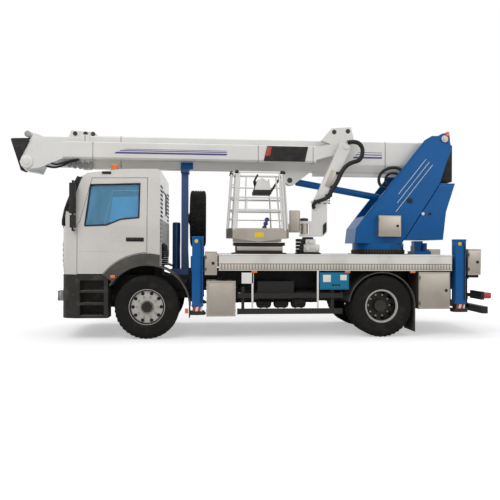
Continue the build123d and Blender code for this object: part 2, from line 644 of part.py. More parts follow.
def boom_tip():
    head = slab(((-1900, 2922), (-1900, 3438), (-2060, 3500), (-2110, 3400), (-2292, 3040), (-2285, 2930),
                 (-2200, 2830), (-1960, 2790)), (-130, 130))
    head += slab(((-2060, 3440), (-2070, 3500), (-2150, 3530), (-2215, 3510), (-2215, 3455), (-2090, 3390)), (-50, 50))
    head += across(-2180, 3484, 48, (-90, 90))
    pin = across(TIP_PIN[0], TIP_PIN[1], TIP_PIN_R, (-450, -130))
    cheek = ((X_FRONT, 3370), (-2425, 3392), (-2118, 3402), (-2300, 3040), (-2288, 2930), (-2235, 2848), (-2273, 2832))
    cover = slab(cheek, (-170, -130)) + slab(cheek, (130, 170))
    cover += slab(((X_FRONT, 3370), (-2425, 3392), (-2370, 3394), (-2270, 2990), (-2262, 2832), (-2273, 2832)), (-130, 130))
    return head + pin, cover - head


def jib():
    mid = (JIB_Y[0] + JIB_Y[1]) / 2
    half = (JIB_Y[1] - JIB_Y[0]) / 2
    beam = along_x(beam_section(mid, half, JIB_Z, 30, half - 30), (-1700, JIB_END))
    root = slab(((-2215, 2950), (-2180, 3040), (-1700, 3315), (-1500, 3315), (-1500, 3020), (-1900, 2850),
                 (-2060, 2830), (-2190, 2870)), JIB_Y)
    x, z = NECK_PIVOT
    fork = ((JIB_END - 60, JIB_Z[0] + 35), (JIB_END - 60, JIB_Z[1] - 20), (x - 70, z + 85), (x + 40, z + 85),
            (x + 80, z), (x + 40, z - 75))
    beam = beam + root + slab(fork, (JIB_Y[0], JIB_Y[0] + 45)) + slab(fork, (JIB_Y[1] - 45, JIB_Y[1]))
    beam += across(x, z, NECK_PIN_R, (NECK_Y[0] - 15, JIB_Y[1]))
    return beam - across(TIP_PIN[0], TIP_PIN[1], TIP_PIN_R + RUN_FIT, (-500, -100))


def level_link():
    x, z = NECK_PIVOT
    shape = ((x - 70, z), (x - 400, z + 132), (x - 215, z + 353), (x + 135, z + 379), (x + 190, z + 163), (x + 75, z))
    y = (JIB_Y[0] + 55, JIB_Y[1] - 55)
    link = slab(shape, y) + across(x, z, 75, y)
    return link - across(x, z, NECK_PIN_R + RUN_FIT, (-400, -250))


def gooseneck():
    x, z = NECK_PIVOT
    foot = (x - 590, x - 335)
    upper = slab(((x - 90, z + 70), (x + 20, z + 95), (x + 100, z + 20), (foot[1] + 5, 2330), (foot[0] + 20, 2330)), NECK_Y)
    flange = box((foot[0] - 15, foot[1] + 45), (NECK_Y[0] - 20, NECK_Y[1] + 15), (2290, 2330))
    lower = slab(((foot[0], 2290), (foot[1], 2290), (foot[1], 1780), (foot[1] - 80, 1700), (foot[0], 1700)), NECK_Y)
    rx, ry = ROTATOR
    ears = join([box((rx - 75, foot[0]), (ry - 70, ry + 70), pair) for pair in ((1700, 1745), (1925, 1970))])
    web = box((rx + 95, foot[0]), (ry - 70, ry + 70), (1745, 1925))
    pin = upright(rx, ry, ROTATOR_PIN_R, (1700, 1985))
    return upper + flange + lower + ears + web + pin - across(x, z, NECK_PIN_R + RUN_FIT, (-700, -400))


def basket():
    x, y, z = BASKET_X, BASKET_Y, BASKET_Z
    rim_z, knee_z, mid_z, top_z = z[0] + 215, z[0] + 530, z[0] + 735, z[1] - 24
    foot = [(x[0] + 95, y[0]), (x[1] - 40, y[0]), (x[1], y[0] + 50), (x[1], y[1]), (x[0] + 95, y[1]),
            (x[0], y[1] - 190), (x[0], y[0] + 190)]
    ground = make_face(Polyline([(px, py, z[0] + 60) for px, py in foot], close=True))
    tub = extrude(ground, 155, dir=(0, 0, 1))
    tub -= Pos(0, 0, 25) * extrude(offset(ground, -12, kind=Kind.INTERSECTION), 200, dir=(0, 0, 1))
    keel = ((y[0] + 15, z[0] + 60), (y[0] + 60, z[0]), (y[1] - 60, z[0]), (y[1], z[0] + 60))
    tub += along_x(keel, (x[0] + 120, x[1] - 120))
    skirt = ((x[0] + 95, rim_z), (x[1] - 40, rim_z), (x[1] - 40, z[0] + 58), ((x[0] + x[1]) / 2, z[0]),
             (x[0] + 95, z[0] + 58))
    tub += slab(skirt, (y[0], y[0] + 12))
    r = RAIL_R
    middle = Vector((x[0] + x[1]) / 2, (y[0] + y[1]) / 2, 0)
    rails = []
    ends = []
    for px, py in foot:
        low = Vector(px, py, rim_z) + (middle - Vector(px, py, 0)).normalized() * (r + 2)
        top = Vector(low.X + (middle.X - low.X) * 0.13, low.Y + (middle.Y - low.Y) * 0.05, top_z)
        ends.append((low, top))
        rails.append(bar(tuple(low - Vector(0, 0, 25)), tuple(top), r))
        rails.append(Pos(*top) * Sphere(r + 5))
    for height in (knee_z, mid_z, top_z):
        share = (height - rim_z) / (top_z - rim_z)
        loop = [tuple(low + (top - low) * share) for low, top in ends]
        rails.append(tube(loop + loop[:1], r - 4))
    rx, ry = ROTATOR
    hub = upright(rx, ry, 70, (1750, 1920))
    arm = box((x[1] - 12, rx), (ry - 45, ry + 45), (1770, 1900))
    arm += box((x[1], x[1] + 20), (y[0] + 150, y[1] - 10), (1660, 1905))
    bracket = arm + hub - upright(rx, ry, ROTATOR_PIN_R + RUN_FIT, (1700, 2000))
    left, right, under = x[1] - 576, x[1] - 286, z[0] + 808
    desk = ((left, under), (left, under + 60), (left + 60, under + 230), (left + 150, under + 262), (right - 30, under + 190),
            (right, under + 60), (right, under))
    console = slab(desk, (y[0] + 170, y[1] - 170))
    arm_line = ((right - 40, under), (right - 4, under), (x[1] - 62, top_z), (x[1] - 98, top_z))
    for side in (y[0] + 200, y[1] - 225):
        console += slab(arm_line, (side, side + 25))
    locker = box((x[1] + 64, x[1] + 230), (-800, -665), (1780, 2145))
    locker += box((x[1] + 20, x[1] + 64), (-780, -690), (1800, 1890))
    return tub, join(rails), bracket, console, locker


def lift_cylinder():
    """Barrel on the turret's pin and rod up to the boom's lug; the rod's eye stays open."""
    base, eye = Vector(CYL_BASE[0], 0, CYL_BASE[1]), Vector(CYL_EYE[0], 0, CYL_EYE[1])
    way = (eye - base).normalized()
    end = base + way * 2060
    barrel = bar(tuple(base), tuple(end), CYL_R) + across(CYL_BASE[0], CYL_BASE[1], 95, (-80, 80))
    barrel -= across(CYL_BASE[0], CYL_BASE[1], CYL_PIN_R + RUN_FIT, (-300, 300))
    inside = base + way * 150
    barrel -= bar(tuple(inside), tuple(end + way * 10), ROD_R + RUN_FIT)
    rod = bar(tuple(base + way * 160), tuple(eye), ROD_R) + across(CYL_EYE[0], CYL_EYE[1], 70, (-70, 70))
    return barrel, rod


def build():
    """Every subcomponent by name."""
    parts = {}
    shell, left, right, left_pane, right_pane, panes, floor = cab()
    seats, dash, tunnel = cab_inside()
    mirrors, beacon = cab_trim()
    parts.update(cab_shell=shell, door_left=left, door_right=right, glass_left=left_pane,
                 glass_right=right_pane, glass_cab=panes, cab_floor=floor + tunnel)
    parts.update(cab_inside=seats + dash, mirrors=mirrors, beacon=beacon)
    parts["mudguards"] = join(mudguards())
    parts.update(frame=frame(), springs=springs(), engine=driveline() + prop_shaft())
    parts.update(front_axle=front_axle(), rear_axle=rear_axle(), subframe=subframe(), deck=deck())
    for name, side in (("left", -1), ("right", 1)):
        parts[f"knuckle_{name}"] = knuckle(side)
        parts[f"tyre_front_{name}"], parts[f"rim_front_{name}"] = front_wheel(side)
        parts[f"tyres_rear_{name}"], parts[f"rims_rear_{name}"] = rear_wheel(side)
    for place, x, bottom, top, foot in OUTRIGGERS:
        for name, side in (("left", -1), ("right", 1)):
            parts[f"outrigger_beam_{place}_{name}"] = outrigger_beam(x, side, bottom, top)
            jack, shoe = outrigger_jack(x, side, bottom, foot)
            parts[f"jack_{place}_{name}"] = jack + shoe
    parts["outrigger_houses"] = join([outrigger_house(row[1]) for row in OUTRIGGERS]) + deck_gear()
    parts["boom_rest"] = boom_rest()
    parts["spare_tyre"], parts["spare_rim"] = spare()
    parts["lockers"], battery, panel = side_boxes()
    parts["side_guards"], under = guards()
    parts.update(control_panel=panel, brackets=brackets() + battery + under)
    rear_lamps, headlamps = lamps()
    parts["lamps"] = rear_lamps + headlamps
    parts["bumper"] = bumper() - headlamps
    parts["turret"], parts["counterweight"], parts["turret_controls"] = turret()
    parts["boom"] = boom()
    parts["boom_tip"], parts["tip_cover"] = boom_tip()
    parts.update(jib=jib(), level_link=level_link(), gooseneck=gooseneck())
    tub, rails, bracket, console, locker = basket()
    parts.update(basket_tub=tub + bracket + locker - rails, basket_rails=rails, basket_console=console - rails)
    parts["lift_barrel"], parts["lift_rod"] = lift_cylinder()
    return parts


def write(parts):
    os.makedirs("parts", exist_ok=True)
    for name, shape in parts.items():
        placed = Pos(X_SHIFT, 0, 0) * shape
        export_step(Compound(children=list(placed.solids())), f"parts/{name}.step")


if __name__ == "__main__":
    write(build())
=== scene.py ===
import math

import bmesh
import bpy
from mathutils import Matrix, Vector


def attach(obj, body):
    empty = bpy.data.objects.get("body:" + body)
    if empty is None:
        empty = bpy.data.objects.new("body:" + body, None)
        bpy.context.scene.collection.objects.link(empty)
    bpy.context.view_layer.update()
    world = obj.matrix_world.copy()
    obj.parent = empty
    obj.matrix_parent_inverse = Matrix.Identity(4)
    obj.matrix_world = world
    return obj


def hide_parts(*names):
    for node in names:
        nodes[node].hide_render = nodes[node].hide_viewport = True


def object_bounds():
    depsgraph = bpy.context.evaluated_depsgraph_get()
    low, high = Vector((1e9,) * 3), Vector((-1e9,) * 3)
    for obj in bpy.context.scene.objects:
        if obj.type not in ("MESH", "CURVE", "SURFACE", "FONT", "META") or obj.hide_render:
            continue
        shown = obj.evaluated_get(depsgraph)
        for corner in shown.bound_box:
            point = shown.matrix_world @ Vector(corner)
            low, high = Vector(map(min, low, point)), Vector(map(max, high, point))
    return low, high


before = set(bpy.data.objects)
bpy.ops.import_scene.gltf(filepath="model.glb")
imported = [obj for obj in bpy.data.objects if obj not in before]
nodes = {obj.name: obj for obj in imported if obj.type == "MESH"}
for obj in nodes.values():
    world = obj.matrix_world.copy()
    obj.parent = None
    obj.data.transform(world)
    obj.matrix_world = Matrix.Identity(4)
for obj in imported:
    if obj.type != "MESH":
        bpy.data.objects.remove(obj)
cad_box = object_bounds()

# Lengths below are millimetres, X rearward from the front axle, Y to the right, Z up.
# SIDE is half the body's width. TURRET_Y and WEIGHT_Y are the outer faces of cheeks and counterweight.
ORIGIN_X = 1692
WHEELBASE = 3900
TYRE_R = 522
TYRE_W = 295
FRONT_TRACK_Y = 1085
REAR_OUTER_Y = 1090
REAR_INNER_Y = 755
SPARE = (797, 320, 2037)
SIDE = 1250
DECK_X = (1163, 5108)
SLEW_X = 4140
TURRET_Y = 420
WEIGHT_Y = 440
BOOM_PIVOT = (WHEELBASE + 1365, 3496)
NECK_PIVOT = (3400, 3300)
JIB_Y = -450
BASKET_X = (1290, 2320)
BASKET_Y = (-1190, -500)
BASKET_Z = (1595, 2775)
BOTH = (-1, 1)
LEFT_RIGHT = (("left", -1), ("right", 1))


def at(x, y, z):
    """A point in metres in the frame's own place."""
    return Vector(((x - ORIGIN_X) / 1000, y / 1000, z / 1000))


def span(s, a, b):
    """Low and high Y of a stretch a to b from the middle on the side s."""
    return sorted((s * a, s * b))


def facing(s, profile):
    """Profile with its offsets turned to the side s."""
    return [(r, s * w) for r, w in profile]


def shade(r, g, b):
    """Screen colour of 0 to 255 as the linear colour a shader takes."""
    line = [c / 255 / 12.92 if c < 10.3 else ((c / 255 + 0.055) / 1.055) ** 2.4 for c in (r, g, b)]
    return (*line, 1.0)


# Finishes.

class Finish:
    """A material with its shader and short calls for the nodes on it."""

    def __init__(self, name, colour, rough, metal=0.0):
        self.material = bpy.data.materials.new(name)
        self.material.use_nodes = True
        self.tree = self.material.node_tree
        self.shader = self.tree.nodes["Principled BSDF"]
        self.shader.inputs["Base Color"].default_value = colour
        self.shader.inputs["Roughness"].default_value = rough
        self.shader.inputs["Metallic"].default_value = metal
        self.material.diffuse_color = colour
        self.place = self.node("ShaderNodeTexCoord").outputs["Object"]

    def node(self, kind, **values):
        made = self.tree.nodes.new(kind)
        for key, value in values.items():
            setattr(made, key, value)
        return made

    def link(self, a, b):
        self.tree.links.new(a, b)

    def noise(self, scale, detail=4.0, stretch=(1, 1, 1)):
        mapping = self.node("ShaderNodeMapping")
        mapping.inputs["Scale"].default_value = stretch
        self.link(self.place, mapping.inputs["Vector"])
        made = self.node("ShaderNodeTexNoise")
        made.inputs["Scale"].default_value = scale
        made.inputs["Detail"].default_value = detail
        self.link(mapping.outputs["Vector"], made.inputs["Vector"])
        return made.outputs["Fac"]

    def spread(self, value, low, high, to_low=0.0, to_high=1.0):
        made = self.node("ShaderNodeMapRange")
        for key, number in zip(("From Min", "From Max", "To Min", "To Max"), (low, high, to_low, to_high)):
            made.inputs[key].default_value = number
        self.link(value, made.inputs["Value"])
        return made.outputs["Result"]

    def times(self, a, b):
        made = self.node("ShaderNodeMath", operation="MULTIPLY")
        self.link(a, made.inputs[0])
        self.link(b, made.inputs[1])
        return made.outputs["Value"]

    def tint(self, colours, value):
        """Ramp between two colours, each with its spot."""
        made = self.node("ShaderNodeValToRGB")
        for stop, (spot, colour) in zip(made.color_ramp.elements, colours):
            stop.position = spot
            stop.color = colour
        self.link(value, made.inputs["Fac"])
        return made.outputs["Color"]

    def over(self, low, high, value):
        """Colour high laid over low where value is 1."""
        made = self.node("ShaderNodeMix", data_type="RGBA")
        self.link(value, made.inputs[0])
        for socket, colour in ((made.inputs[6], low), (made.inputs[7], high)):
            if isinstance(colour, tuple):
                socket.default_value = colour
            else:
                self.link(colour, socket)
        return made.outputs[2]

    def colour(self, value):
        self.link(value, self.shader.inputs["Base Color"])

    def rough(self, value):
        self.link(value, self.shader.inputs["Roughness"])

    def bump(self, value, depth, strength=0.4):
        made = self.node("ShaderNodeBump")
        made.inputs["Strength"].default_value = strength
        made.inputs["Distance"].default_value = depth
        self.link(value, made.inputs["Height"])
        self.link(made.outputs["Normal"], self.shader.inputs["Normal"])

    def height(self):
        split = self.node("ShaderNodeSeparateXYZ")
        self.link(self.place, split.inputs["Vector"])
        return split.outputs["Z"]


def scaled(colour, factor):
    return (*(min(1.0, c * factor) for c in colour[:3]), 1.0)


ROAD_DUST = shade(150, 140, 125)


def paint(name, colour, rough=0.3, gloss=0.35, dusty=0.25, dust_top=1.1, shine=0.5):
    """Sprayed paint: slight unevenness, orange-peel, and road dust low down."""
    skin = Finish(name, colour, rough)
    skin.shader.inputs["Specular IOR Level"].default_value = shine
    skin.shader.inputs["Coat Weight"].default_value = gloss
    skin.shader.inputs["Coat Roughness"].default_value = 0.12
    cloud = skin.noise(1.6, 5)
    base = skin.tint(((0.3, scaled(colour, 0.93)), (0.7, scaled(colour, 1.04))), cloud)
    speck = skin.noise(42, 6)
    low = skin.spread(skin.height(), 0.3, dust_top, dusty, 0.0)
    dust = skin.times(skin.spread(speck, 0.35, 0.75), low)
    streak = skin.spread(skin.noise(3.0, 5, (9, 9, 0.6)), 0.62, 0.78, 0.0, 0.09)
    skin.colour(skin.over(skin.over(base, ROAD_DUST, dust), scaled(colour, 0.45), streak))
    skin.rough(skin.spread(speck, 0.3, 0.8, rough * 0.8, min(1.0, rough * 1.5)))
    skin.bump(skin.noise(260, 2), 0.0006, 0.25)
    return skin.material


def brushed(name, colour, rough=0.34, along=(0.6, 60, 60)):
    """Sheet steel with a fine brushed grain along it and faint stains."""
    skin = Finish(name, colour, rough, 0.85)
    grain = skin.noise(26, 5, along)
    stain = skin.spread(skin.noise(2.4, 6), 0.5, 0.75, 0.0, 0.28)
    base = skin.tint(((0.25, scaled(colour, 0.82)), (0.75, scaled(colour, 1.1))), grain)
    skin.colour(skin.over(base, shade(120, 112, 100), stain))
    skin.rough(skin.spread(grain, 0.2, 0.8, rough * 0.75, rough * 1.4))
    skin.bump(grain, 0.0008, 0.3)
    return skin.material


def moulded(name, colour, rough=0.6, grain=320, dusty=0.3):
    """Grained plastic or rubber with pale scuffs."""
    skin = Finish(name, colour, rough)
    skin.shader.inputs["Specular IOR Level"].default_value = 0.28
    pebble = skin.noise(grain, 3)
    scuff = skin.spread(skin.noise(7, 8), 0.52, 0.8, 0.0, dusty)
    base = skin.tint(((0.3, scaled(colour, 0.82)), (0.7, scaled(colour, 1.18))), skin.noise(3.2, 4))
    skin.colour(skin.over(base, ROAD_DUST, scuff))
    skin.rough(skin.spread(pebble, 0.3, 0.7, rough * 0.85, min(1.0, rough * 1.25)))
    skin.bump(pebble, 0.0012, 0.35)
    return skin.material


def lens(name, colour, rough=0.12):
    """Coloured lamp plastic with a ribbed inner face."""
    skin = Finish(name, colour, rough)
    skin.shader.inputs["Coat Weight"].default_value = 0.6
    skin.shader.inputs["Subsurface Weight"].default_value = 0.15
    ribs = skin.node("ShaderNodeTexWave", bands_direction="Z")
    ribs.inputs["Scale"].default_value = 45
    skin.link(skin.place, ribs.inputs["Vector"])
    skin.colour(skin.tint(((0.2, scaled(colour, 0.72)), (0.8, scaled(colour, 1.15))), ribs.outputs["Fac"]))
    skin.rough(skin.spread(skin.noise(30, 4), 0.3, 0.7, rough, rough * 2))
    skin.bump(ribs.outputs["Fac"], 0.002, 0.4)
    return skin.material


def clear_glass(name, colour, through=0.85):
    skin = Finish(name, colour, 0.02)
    skin.shader.inputs["Transmission Weight"].default_value = through
    skin.shader.inputs["IOR"].default_value = 1.45
    film = skin.noise(5, 5)
    skin.rough(skin.spread(film, 0.45, 0.8, 0.015, 0.09))
    skin.colour(skin.tint(((0.3, colour), (0.8, scaled(colour, 0.8))), film))
    return skin.material


WHITE = paint("cab_paint", shade(212, 208, 202), 0.28, 0.5, 0.35, 1.3)
BOOM_WHITE = paint("boom_paint", shade(232, 230, 226), 0.32, 0.4)
BLUE = paint("turret_blue", shade(4, 92, 158), 0.36, 0.06, 0.15, 1.0, 0.2)
DARK_BLUE = paint("post_blue", shade(14, 68, 124), 0.38, 0.3)
STEEL = brushed("box_steel", shade(178, 170, 159))
DECK_METAL = brushed("deck_aluminium", shade(214, 212, 206), 0.42, (60, 0.6, 60))
LIP_METAL = brushed("lip_aluminium", shade(200, 193, 182), 0.5, (60, 0.6, 60))
# Darker metal for the gaps between the lip's ridges: painted shade in the grooves.
LIP_SHADE = brushed("lip_gaps", shade(146, 139, 129), 0.6, (60, 0.6, 60))
BLACK = paint("chassis_black", shade(20, 19, 19), 0.5, 0.06, 0.16, 1.0, 0.3)
HUB_BLACK = paint("hub_black", shade(22, 21, 20), 0.5, 0.1, 0.08, 0.9, 0.3)
# Near-black paint on the rear rim dishes: painted shade for the deep dish of the dual wheels.
DISH_SHADE = paint("dish_painted_shade", shade(36, 35, 33), 0.45, 0.06, 0.2, 0.9, 0.3)
STEP_GREY = moulded("step_plastic", shade(44, 42, 39), 0.62, 420, 0.2)
ARCH_GREY = moulded("arch_plastic", shade(78, 76, 72), 0.62, 420, 0.2)
DARK_PLASTIC = moulded("trim_plastic", shade(34, 33, 33), 0.55, 500, 0.12)
RUBBER = moulded("tyre_rubber", shade(19, 18, 16), 0.82, 240, 0.08)
RIM_SILVER = paint("wheel_silver", shade(204, 200, 195), 0.36, 0.2, 0.5, 0.9)
# Strong light blue of the window glass: partly the glass's own tint, partly a painted sky reflection.
GLASS = clear_glass("window_glass", shade(132, 208, 246), 0.72)
CLEAR_LENS = clear_glass("headlamp_glass", shade(214, 218, 220))
CAST = moulded("cast_iron", shade(62, 60, 58), 0.7, 180, 0.3)
ORANGE = lens("amber_lens", shade(240, 120, 22))
LAMP_RED = lens("red_lens", shade(190, 26, 20))
PANEL_BLUE = paint("panel_paint", shade(34, 122, 160), 0.4, 0.0, 0.12, 1.1, 0.15)
CHROME = brushed("rod_chrome", shade(225, 225, 226), 0.12)
SEAT = moulded("seat_cloth", shade(58, 60, 66), 0.9, 700, 0.05)
HOSE_BLACK = moulded("hose_rubber", shade(26, 26, 27), 0.5, 600, 0.1)
STRIPE_RED = paint("stripe_red", shade(196, 32, 28), 0.4, 0.2)
STRIPE_WHITE = paint("stripe_white", shade(236, 234, 228), 0.4, 0.2)
VIOLET = paint("stripe_violet", shade(58, 52, 128), 0.35, 0.3)
YELLOW = paint("plate_yellow", shade(236, 202, 40), 0.4, 0.2)
LIGHT_GREY = moulded("light_plastic", shade(168, 168, 164), 0.5, 420, 0.2)

# The look of each node that shows.
NODE_LOOKS = (
    (WHITE, "cab_shell door_left door_right"), (GLASS, "glass_left glass_right glass_cab"),
    (DARK_PLASTIC, "cab_floor mirrors tip_cover basket_console"), (SEAT, "cab_inside"), (ORANGE, "beacon"),
    (STEP_GREY, "bumper"), (ARCH_GREY, "mudguards"), (CAST, "engine"), (DECK_METAL, "deck"),
    (BLACK, "frame springs front_axle rear_axle subframe brackets side_guards knuckle_left knuckle_right"),
    (BLUE, "outrigger_houses turret counterweight lift_barrel"), (DARK_BLUE, "boom_rest"),
    (RIM_SILVER, "spare_rim rim_front_left rim_front_right"), (DISH_SHADE, "rims_rear_left rims_rear_right"),
    (STEEL, "lockers turret_controls basket_tub"), (PANEL_BLUE, "control_panel"), (LAMP_RED, "lamps"),
    (BOOM_WHITE, "boom boom_tip jib level_link gooseneck basket_rails"), (CHROME, "lift_rod"),
    *((look, f"{kind}_{place}_{side}") for look, kind in ((BLUE, "outrigger_beam"), (BLACK, "jack"))
      for place in ("front", "rear") for side, _ in LEFT_RIGHT),
)
for look, names in NODE_LOOKS:
    for name in names.split():
        for spot in nodes[name].material_slots:
            spot.material = look


# Mesh shapes.

class Shape:
    """Gathers plates, blocks, tubes and turned forms into one mesh."""

    def __init__(self):
        self.mesh = bmesh.new()

    def _closed(self, faces_before, soft=0):
        new = [f for f in self.mesh.faces if f not in faces_before]
        bmesh.ops.recalc_face_normals(self.mesh, faces=new)
        if soft:
            edges = {e for f in new for e in f.edges if e.is_manifold and e.calc_face_angle(0) > 0.5}
            bmesh.ops.bevel(self.mesh, geom=list(edges), offset=soft / 1000, segments=2,
                            profile=0.6, affect="EDGES", clamp_overlap=True)

    def prism(self, ends, soft=0):
        """Closed form through outlines with the same number of corners."""
        before = set(self.mesh.faces)
        rings = [[self.mesh.verts.new(p) for p in outline] for outline in ends]
        count = len(rings[0])
        for a, b in zip(rings, rings[1:]):
            for k in range(count):
                self.mesh.faces.new((a[k], a[(k + 1) % count], b[(k + 1) % count], b[k]))
        self.mesh.faces.new(rings[0])
        self.mesh.faces.new(rings[-1])
        self._closed(before, soft)
        return self

    def block(self, x, y, z, soft=4):
        ends = [[at(px, py, pz) for px, py in ((x[0], y[0]), (x[1], y[0]), (x[1], y[1]), (x[0], y[1]))]
                for pz in z]
        return self.prism(ends, soft)

    def plate(self, outline, y, soft=3):
        """Outline in X and Z carried across the pair y."""
        return self.prism([[at(px, py, pz) for px, pz in outline] for py in y], soft)

    def slice(self, outline, x, soft=3):
        """Outline in Y and Z carried along the pair x."""
        return self.prism([[at(px, py, pz) for py, pz in outline] for px in x], soft)

    def blocks(self, x, y, z, soft=4):
        """Block on both sides, its y from the middle."""
        for s in BOTH:
            self.block(x, span(s, *y), z, soft)
        return self

    def plates(self, outline, y, soft=3):
        """Plate on both sides, its y from the middle."""
        for s in BOTH:
            self.plate(outline, span(s, *y), soft)
        return self

    def caps(self, profile, centre, steps=24):
        """Profile turned about Y on both sides, its offsets outward."""
        x, y, z = centre
        for s in BOTH:
            self.turned(facing(s, profile), (x, s * y, z), "Y", steps)
        return self

    def turned(self, profile, centre, axis="Y", steps=32, closed=False):
        """Profile of (radius, offset along the axis) spun about the centre."""
        before = set(self.mesh.faces)
        turn = {"Y": Matrix.Rotation(-math.pi / 2, 4, "X"), "Z": Matrix.Identity(4),
                "X": Matrix.Rotation(math.pi / 2, 4, "Y")}[axis]
        move = Matrix.Translation(at(*centre)) @ turn
        rings = []
        for k in range(steps):
            t = 2 * math.pi * k / steps
            rings.append([self.mesh.verts.new(move @ (Vector((r * math.cos(t), r * math.sin(t), w)) / 1000))
                          for r, w in profile])
        last = len(profile) if closed else len(profile) - 1
        for k in range(steps):
            a, b = rings[k], rings[(k + 1) % steps]
            for j in range(last):
                i = (j + 1) % len(profile)
                self.mesh.faces.new((a[j], b[j], b[i], a[i]))
        if not closed:
            for j in (0, -1):
                self.mesh.faces.new([ring[j] for ring in rings])
        bmesh.ops.remove_doubles(self.mesh, verts=[v for ring in rings for v in ring], dist=1e-6)
        self._closed(before)
        return self

    def tube(self, points, radius, sides=10):
        """Bent bar through points, cut off square at both ends."""
        line = [at(*p) for p in points]
        turns = [2 * math.pi * j / sides for j in range(sides)]
        rings = []
        up = None
        for k, spot in enumerate(line):
            ahead = (line[k + 1] - spot).normalized() if k + 1 < len(line) else None
            behind = (spot - line[k - 1]).normalized() if k else None
            way = ahead if behind is None else behind if ahead is None else (ahead + behind).normalized()
            stretch = 1.0 if ahead is None or behind is None else 1 / max(0.5, way.dot(ahead))
            if up is None:
                up = way.orthogonal().normalized()
            up = (up - way * up.dot(way)).normalized()
            out = way.cross(up)
            reach = radius / 1000 * stretch
            rings.append([spot + (up * math.cos(t) + out * math.sin(t)) * reach for t in turns])
        return self.prism(rings)

    def to_mesh(self, name):
        mesh = bpy.data.meshes.new(name)
        self.mesh.to_mesh(mesh)
        self.mesh.free()
        return mesh

    def made(self, name, look, body="chassis", slot=None, replaces=()):
        """Turns the gathered mesh into a finished piece on a body."""
        mesh = self.to_mesh(name)
        for face in mesh.polygons:
            face.use_smooth = True
        mesh.set_sharp_from_angle(angle=math.radians(38))
        mesh.materials.clear()
        mesh.materials.append(look)
        piece = bpy.data.objects.new(name, mesh)
        bpy.context.collection.objects.link(piece)
        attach(piece, body)
        if replaces:
            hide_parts(*replaces)


# Patterns that repeat.

def repeat_tree(name, spots_kind, sizes):
    """Tree that sets copies of a shape on the points of a grid or a ring."""
    tree = bpy.data.node_groups.new(name, "GeometryNodeTree")
    tree.interface.new_socket("Geometry", in_out="OUTPUT", socket_type="NodeSocketGeometry")
    kinds = {"Shape": "Object", "Look": "Material", "Count": "Int", "Rows": "Int"}
    for label in ("Shape", "Look", *sizes):
        tree.interface.new_socket(label, in_out="INPUT", socket_type="NodeSocket" + kinds.get(label, "Float"))
    given, out, shape, copies, real, dress, spots = (tree.nodes.new(kind) for kind in (
        "NodeGroupInput", "NodeGroupOutput", "GeometryNodeObjectInfo", "GeometryNodeInstanceOnPoints",
        "GeometryNodeRealizeInstances", "GeometryNodeSetMaterial", spots_kind))
    link = tree.links.new
    for label, socket in sizes.items():
        link(given.outputs[label], spots.inputs[socket])
    if "Radius" in sizes:
        place = tree.nodes.new("GeometryNodeInputPosition")
        outward = tree.nodes.new("FunctionNodeAlignRotationToVector")
        outward.axis = "X"
        link(place.outputs["Position"], outward.inputs["Vector"])
        link(outward.outputs["Rotation"], copies.inputs["Rotation"])
    link(given.outputs["Shape"], shape.inputs["Object"])
    link(spots.outputs["Mesh"], copies.inputs["Points"])
    link(shape.outputs["Geometry"], copies.inputs["Instance"])
    link(copies.outputs["Instances"], real.inputs["Geometry"])
    link(real.outputs["Geometry"], dress.inputs["Geometry"])
    link(given.outputs["Look"], dress.inputs["Material"])
    link(dress.outputs["Geometry"], out.inputs["Geometry"])
    return tree


GRID_TREE = repeat_tree("copies_over_a_grid", "GeometryNodeMeshGrid", {
    "Count": "Vertices X", "Rows": "Vertices Y", "Length": "Size X", "Height": "Size Y"})
RING_TREE = repeat_tree("copies_round_a_ring", "GeometryNodeMeshCircle", {
    "Count": "Vertices", "Radius": "Radius"})


def in_rows(count, length, rows=1, height=0.0):
    """Layout in rows, sizes in metres."""
    return GRID_TREE, {"Count": count, "Rows": rows, "Length": length, "Height": height}


def in_ring(count, radius):
    """Layout round a ring, its radius in metres."""
    return RING_TREE, {"Count": count, "Radius": radius}


def repeated(layout, shape, places, name, look, body="chassis", slot=None):
    """Repeats a small shape over a layout and lays the result at each place as one piece."""
    tree, sizes = layout
    single = bpy.data.objects.new("shape", shape.to_mesh("shape"))
    holder = bpy.data.objects.new("holder", bpy.data.meshes.new("holder"))
    for o in (single, holder):
        bpy.context.collection.objects.link(o)
    maker = holder.modifiers.new("copies", "NODES")
    maker.node_group = tree
    given = {"Shape": single, "Look": look, **sizes}
    for item in tree.interface.items_tree:
        if item.in_out == "INPUT":
            maker[item.identifier] = given[item.name]
    bpy.context.view_layer.update()
    depsgraph = bpy.context.evaluated_depsgraph_get()
    pattern = bpy.data.meshes.new_from_object(holder.evaluated_get(depsgraph))
    total = Shape()
    for place in places:
        one = pattern.copy()
        one.transform(place)
        total.mesh.from_mesh(one)
        bpy.data.meshes.remove(one)
    bmesh.ops.recalc_face_normals(total.mesh, faces=total.mesh.faces[:])
    bpy.data.objects.remove(holder)
    bpy.data.objects.remove(single)
    total.made(name, look, body, slot)


def small(build):
    """A small shape about the frame's origin, for a pattern to repeat."""
    shape = Shape()
    build(shape)
    bmesh.ops.translate(shape.mesh, verts=shape.mesh.verts[:], vec=-at(0, 0, 0))
    return shape


def to_side(x, y, z):
    """Place of a flat pattern set upright on the truck's left or right side."""
    return Matrix.Translation(at(x, y, z)) @ Matrix.Rotation(math.pi / 2, 4, "X")


def nut(radius, height):
    profile = ((0, 0), (radius, 0), (radius, height * 0.7), (radius * 0.8, height), (0, height))
    return small(lambda s: s.turned(profile, (0, 0, 0), "Z", 6))


# Tyres.

def tread_profile():
    """Half of the tyre's outline from the bead to the middle, with two grooves."""
    half = TYRE_W / 2
    wall = ((274, 44), (276, 30), (290, 24), (322, 18), (345, 10), (352, 13), (400, 1), (440, 1), (470, 5),
            (474, 9), (498, 12), (514, 24), (521, 44))
    ribs = [(522, 82), (522, 74), (508, 72), (508, 62), (522, 60), (522, 32), (522, 30), (508, 28), (508, 18),
            (522, 16)]
    return [(r, half - inset) for r, inset in wall] + ribs


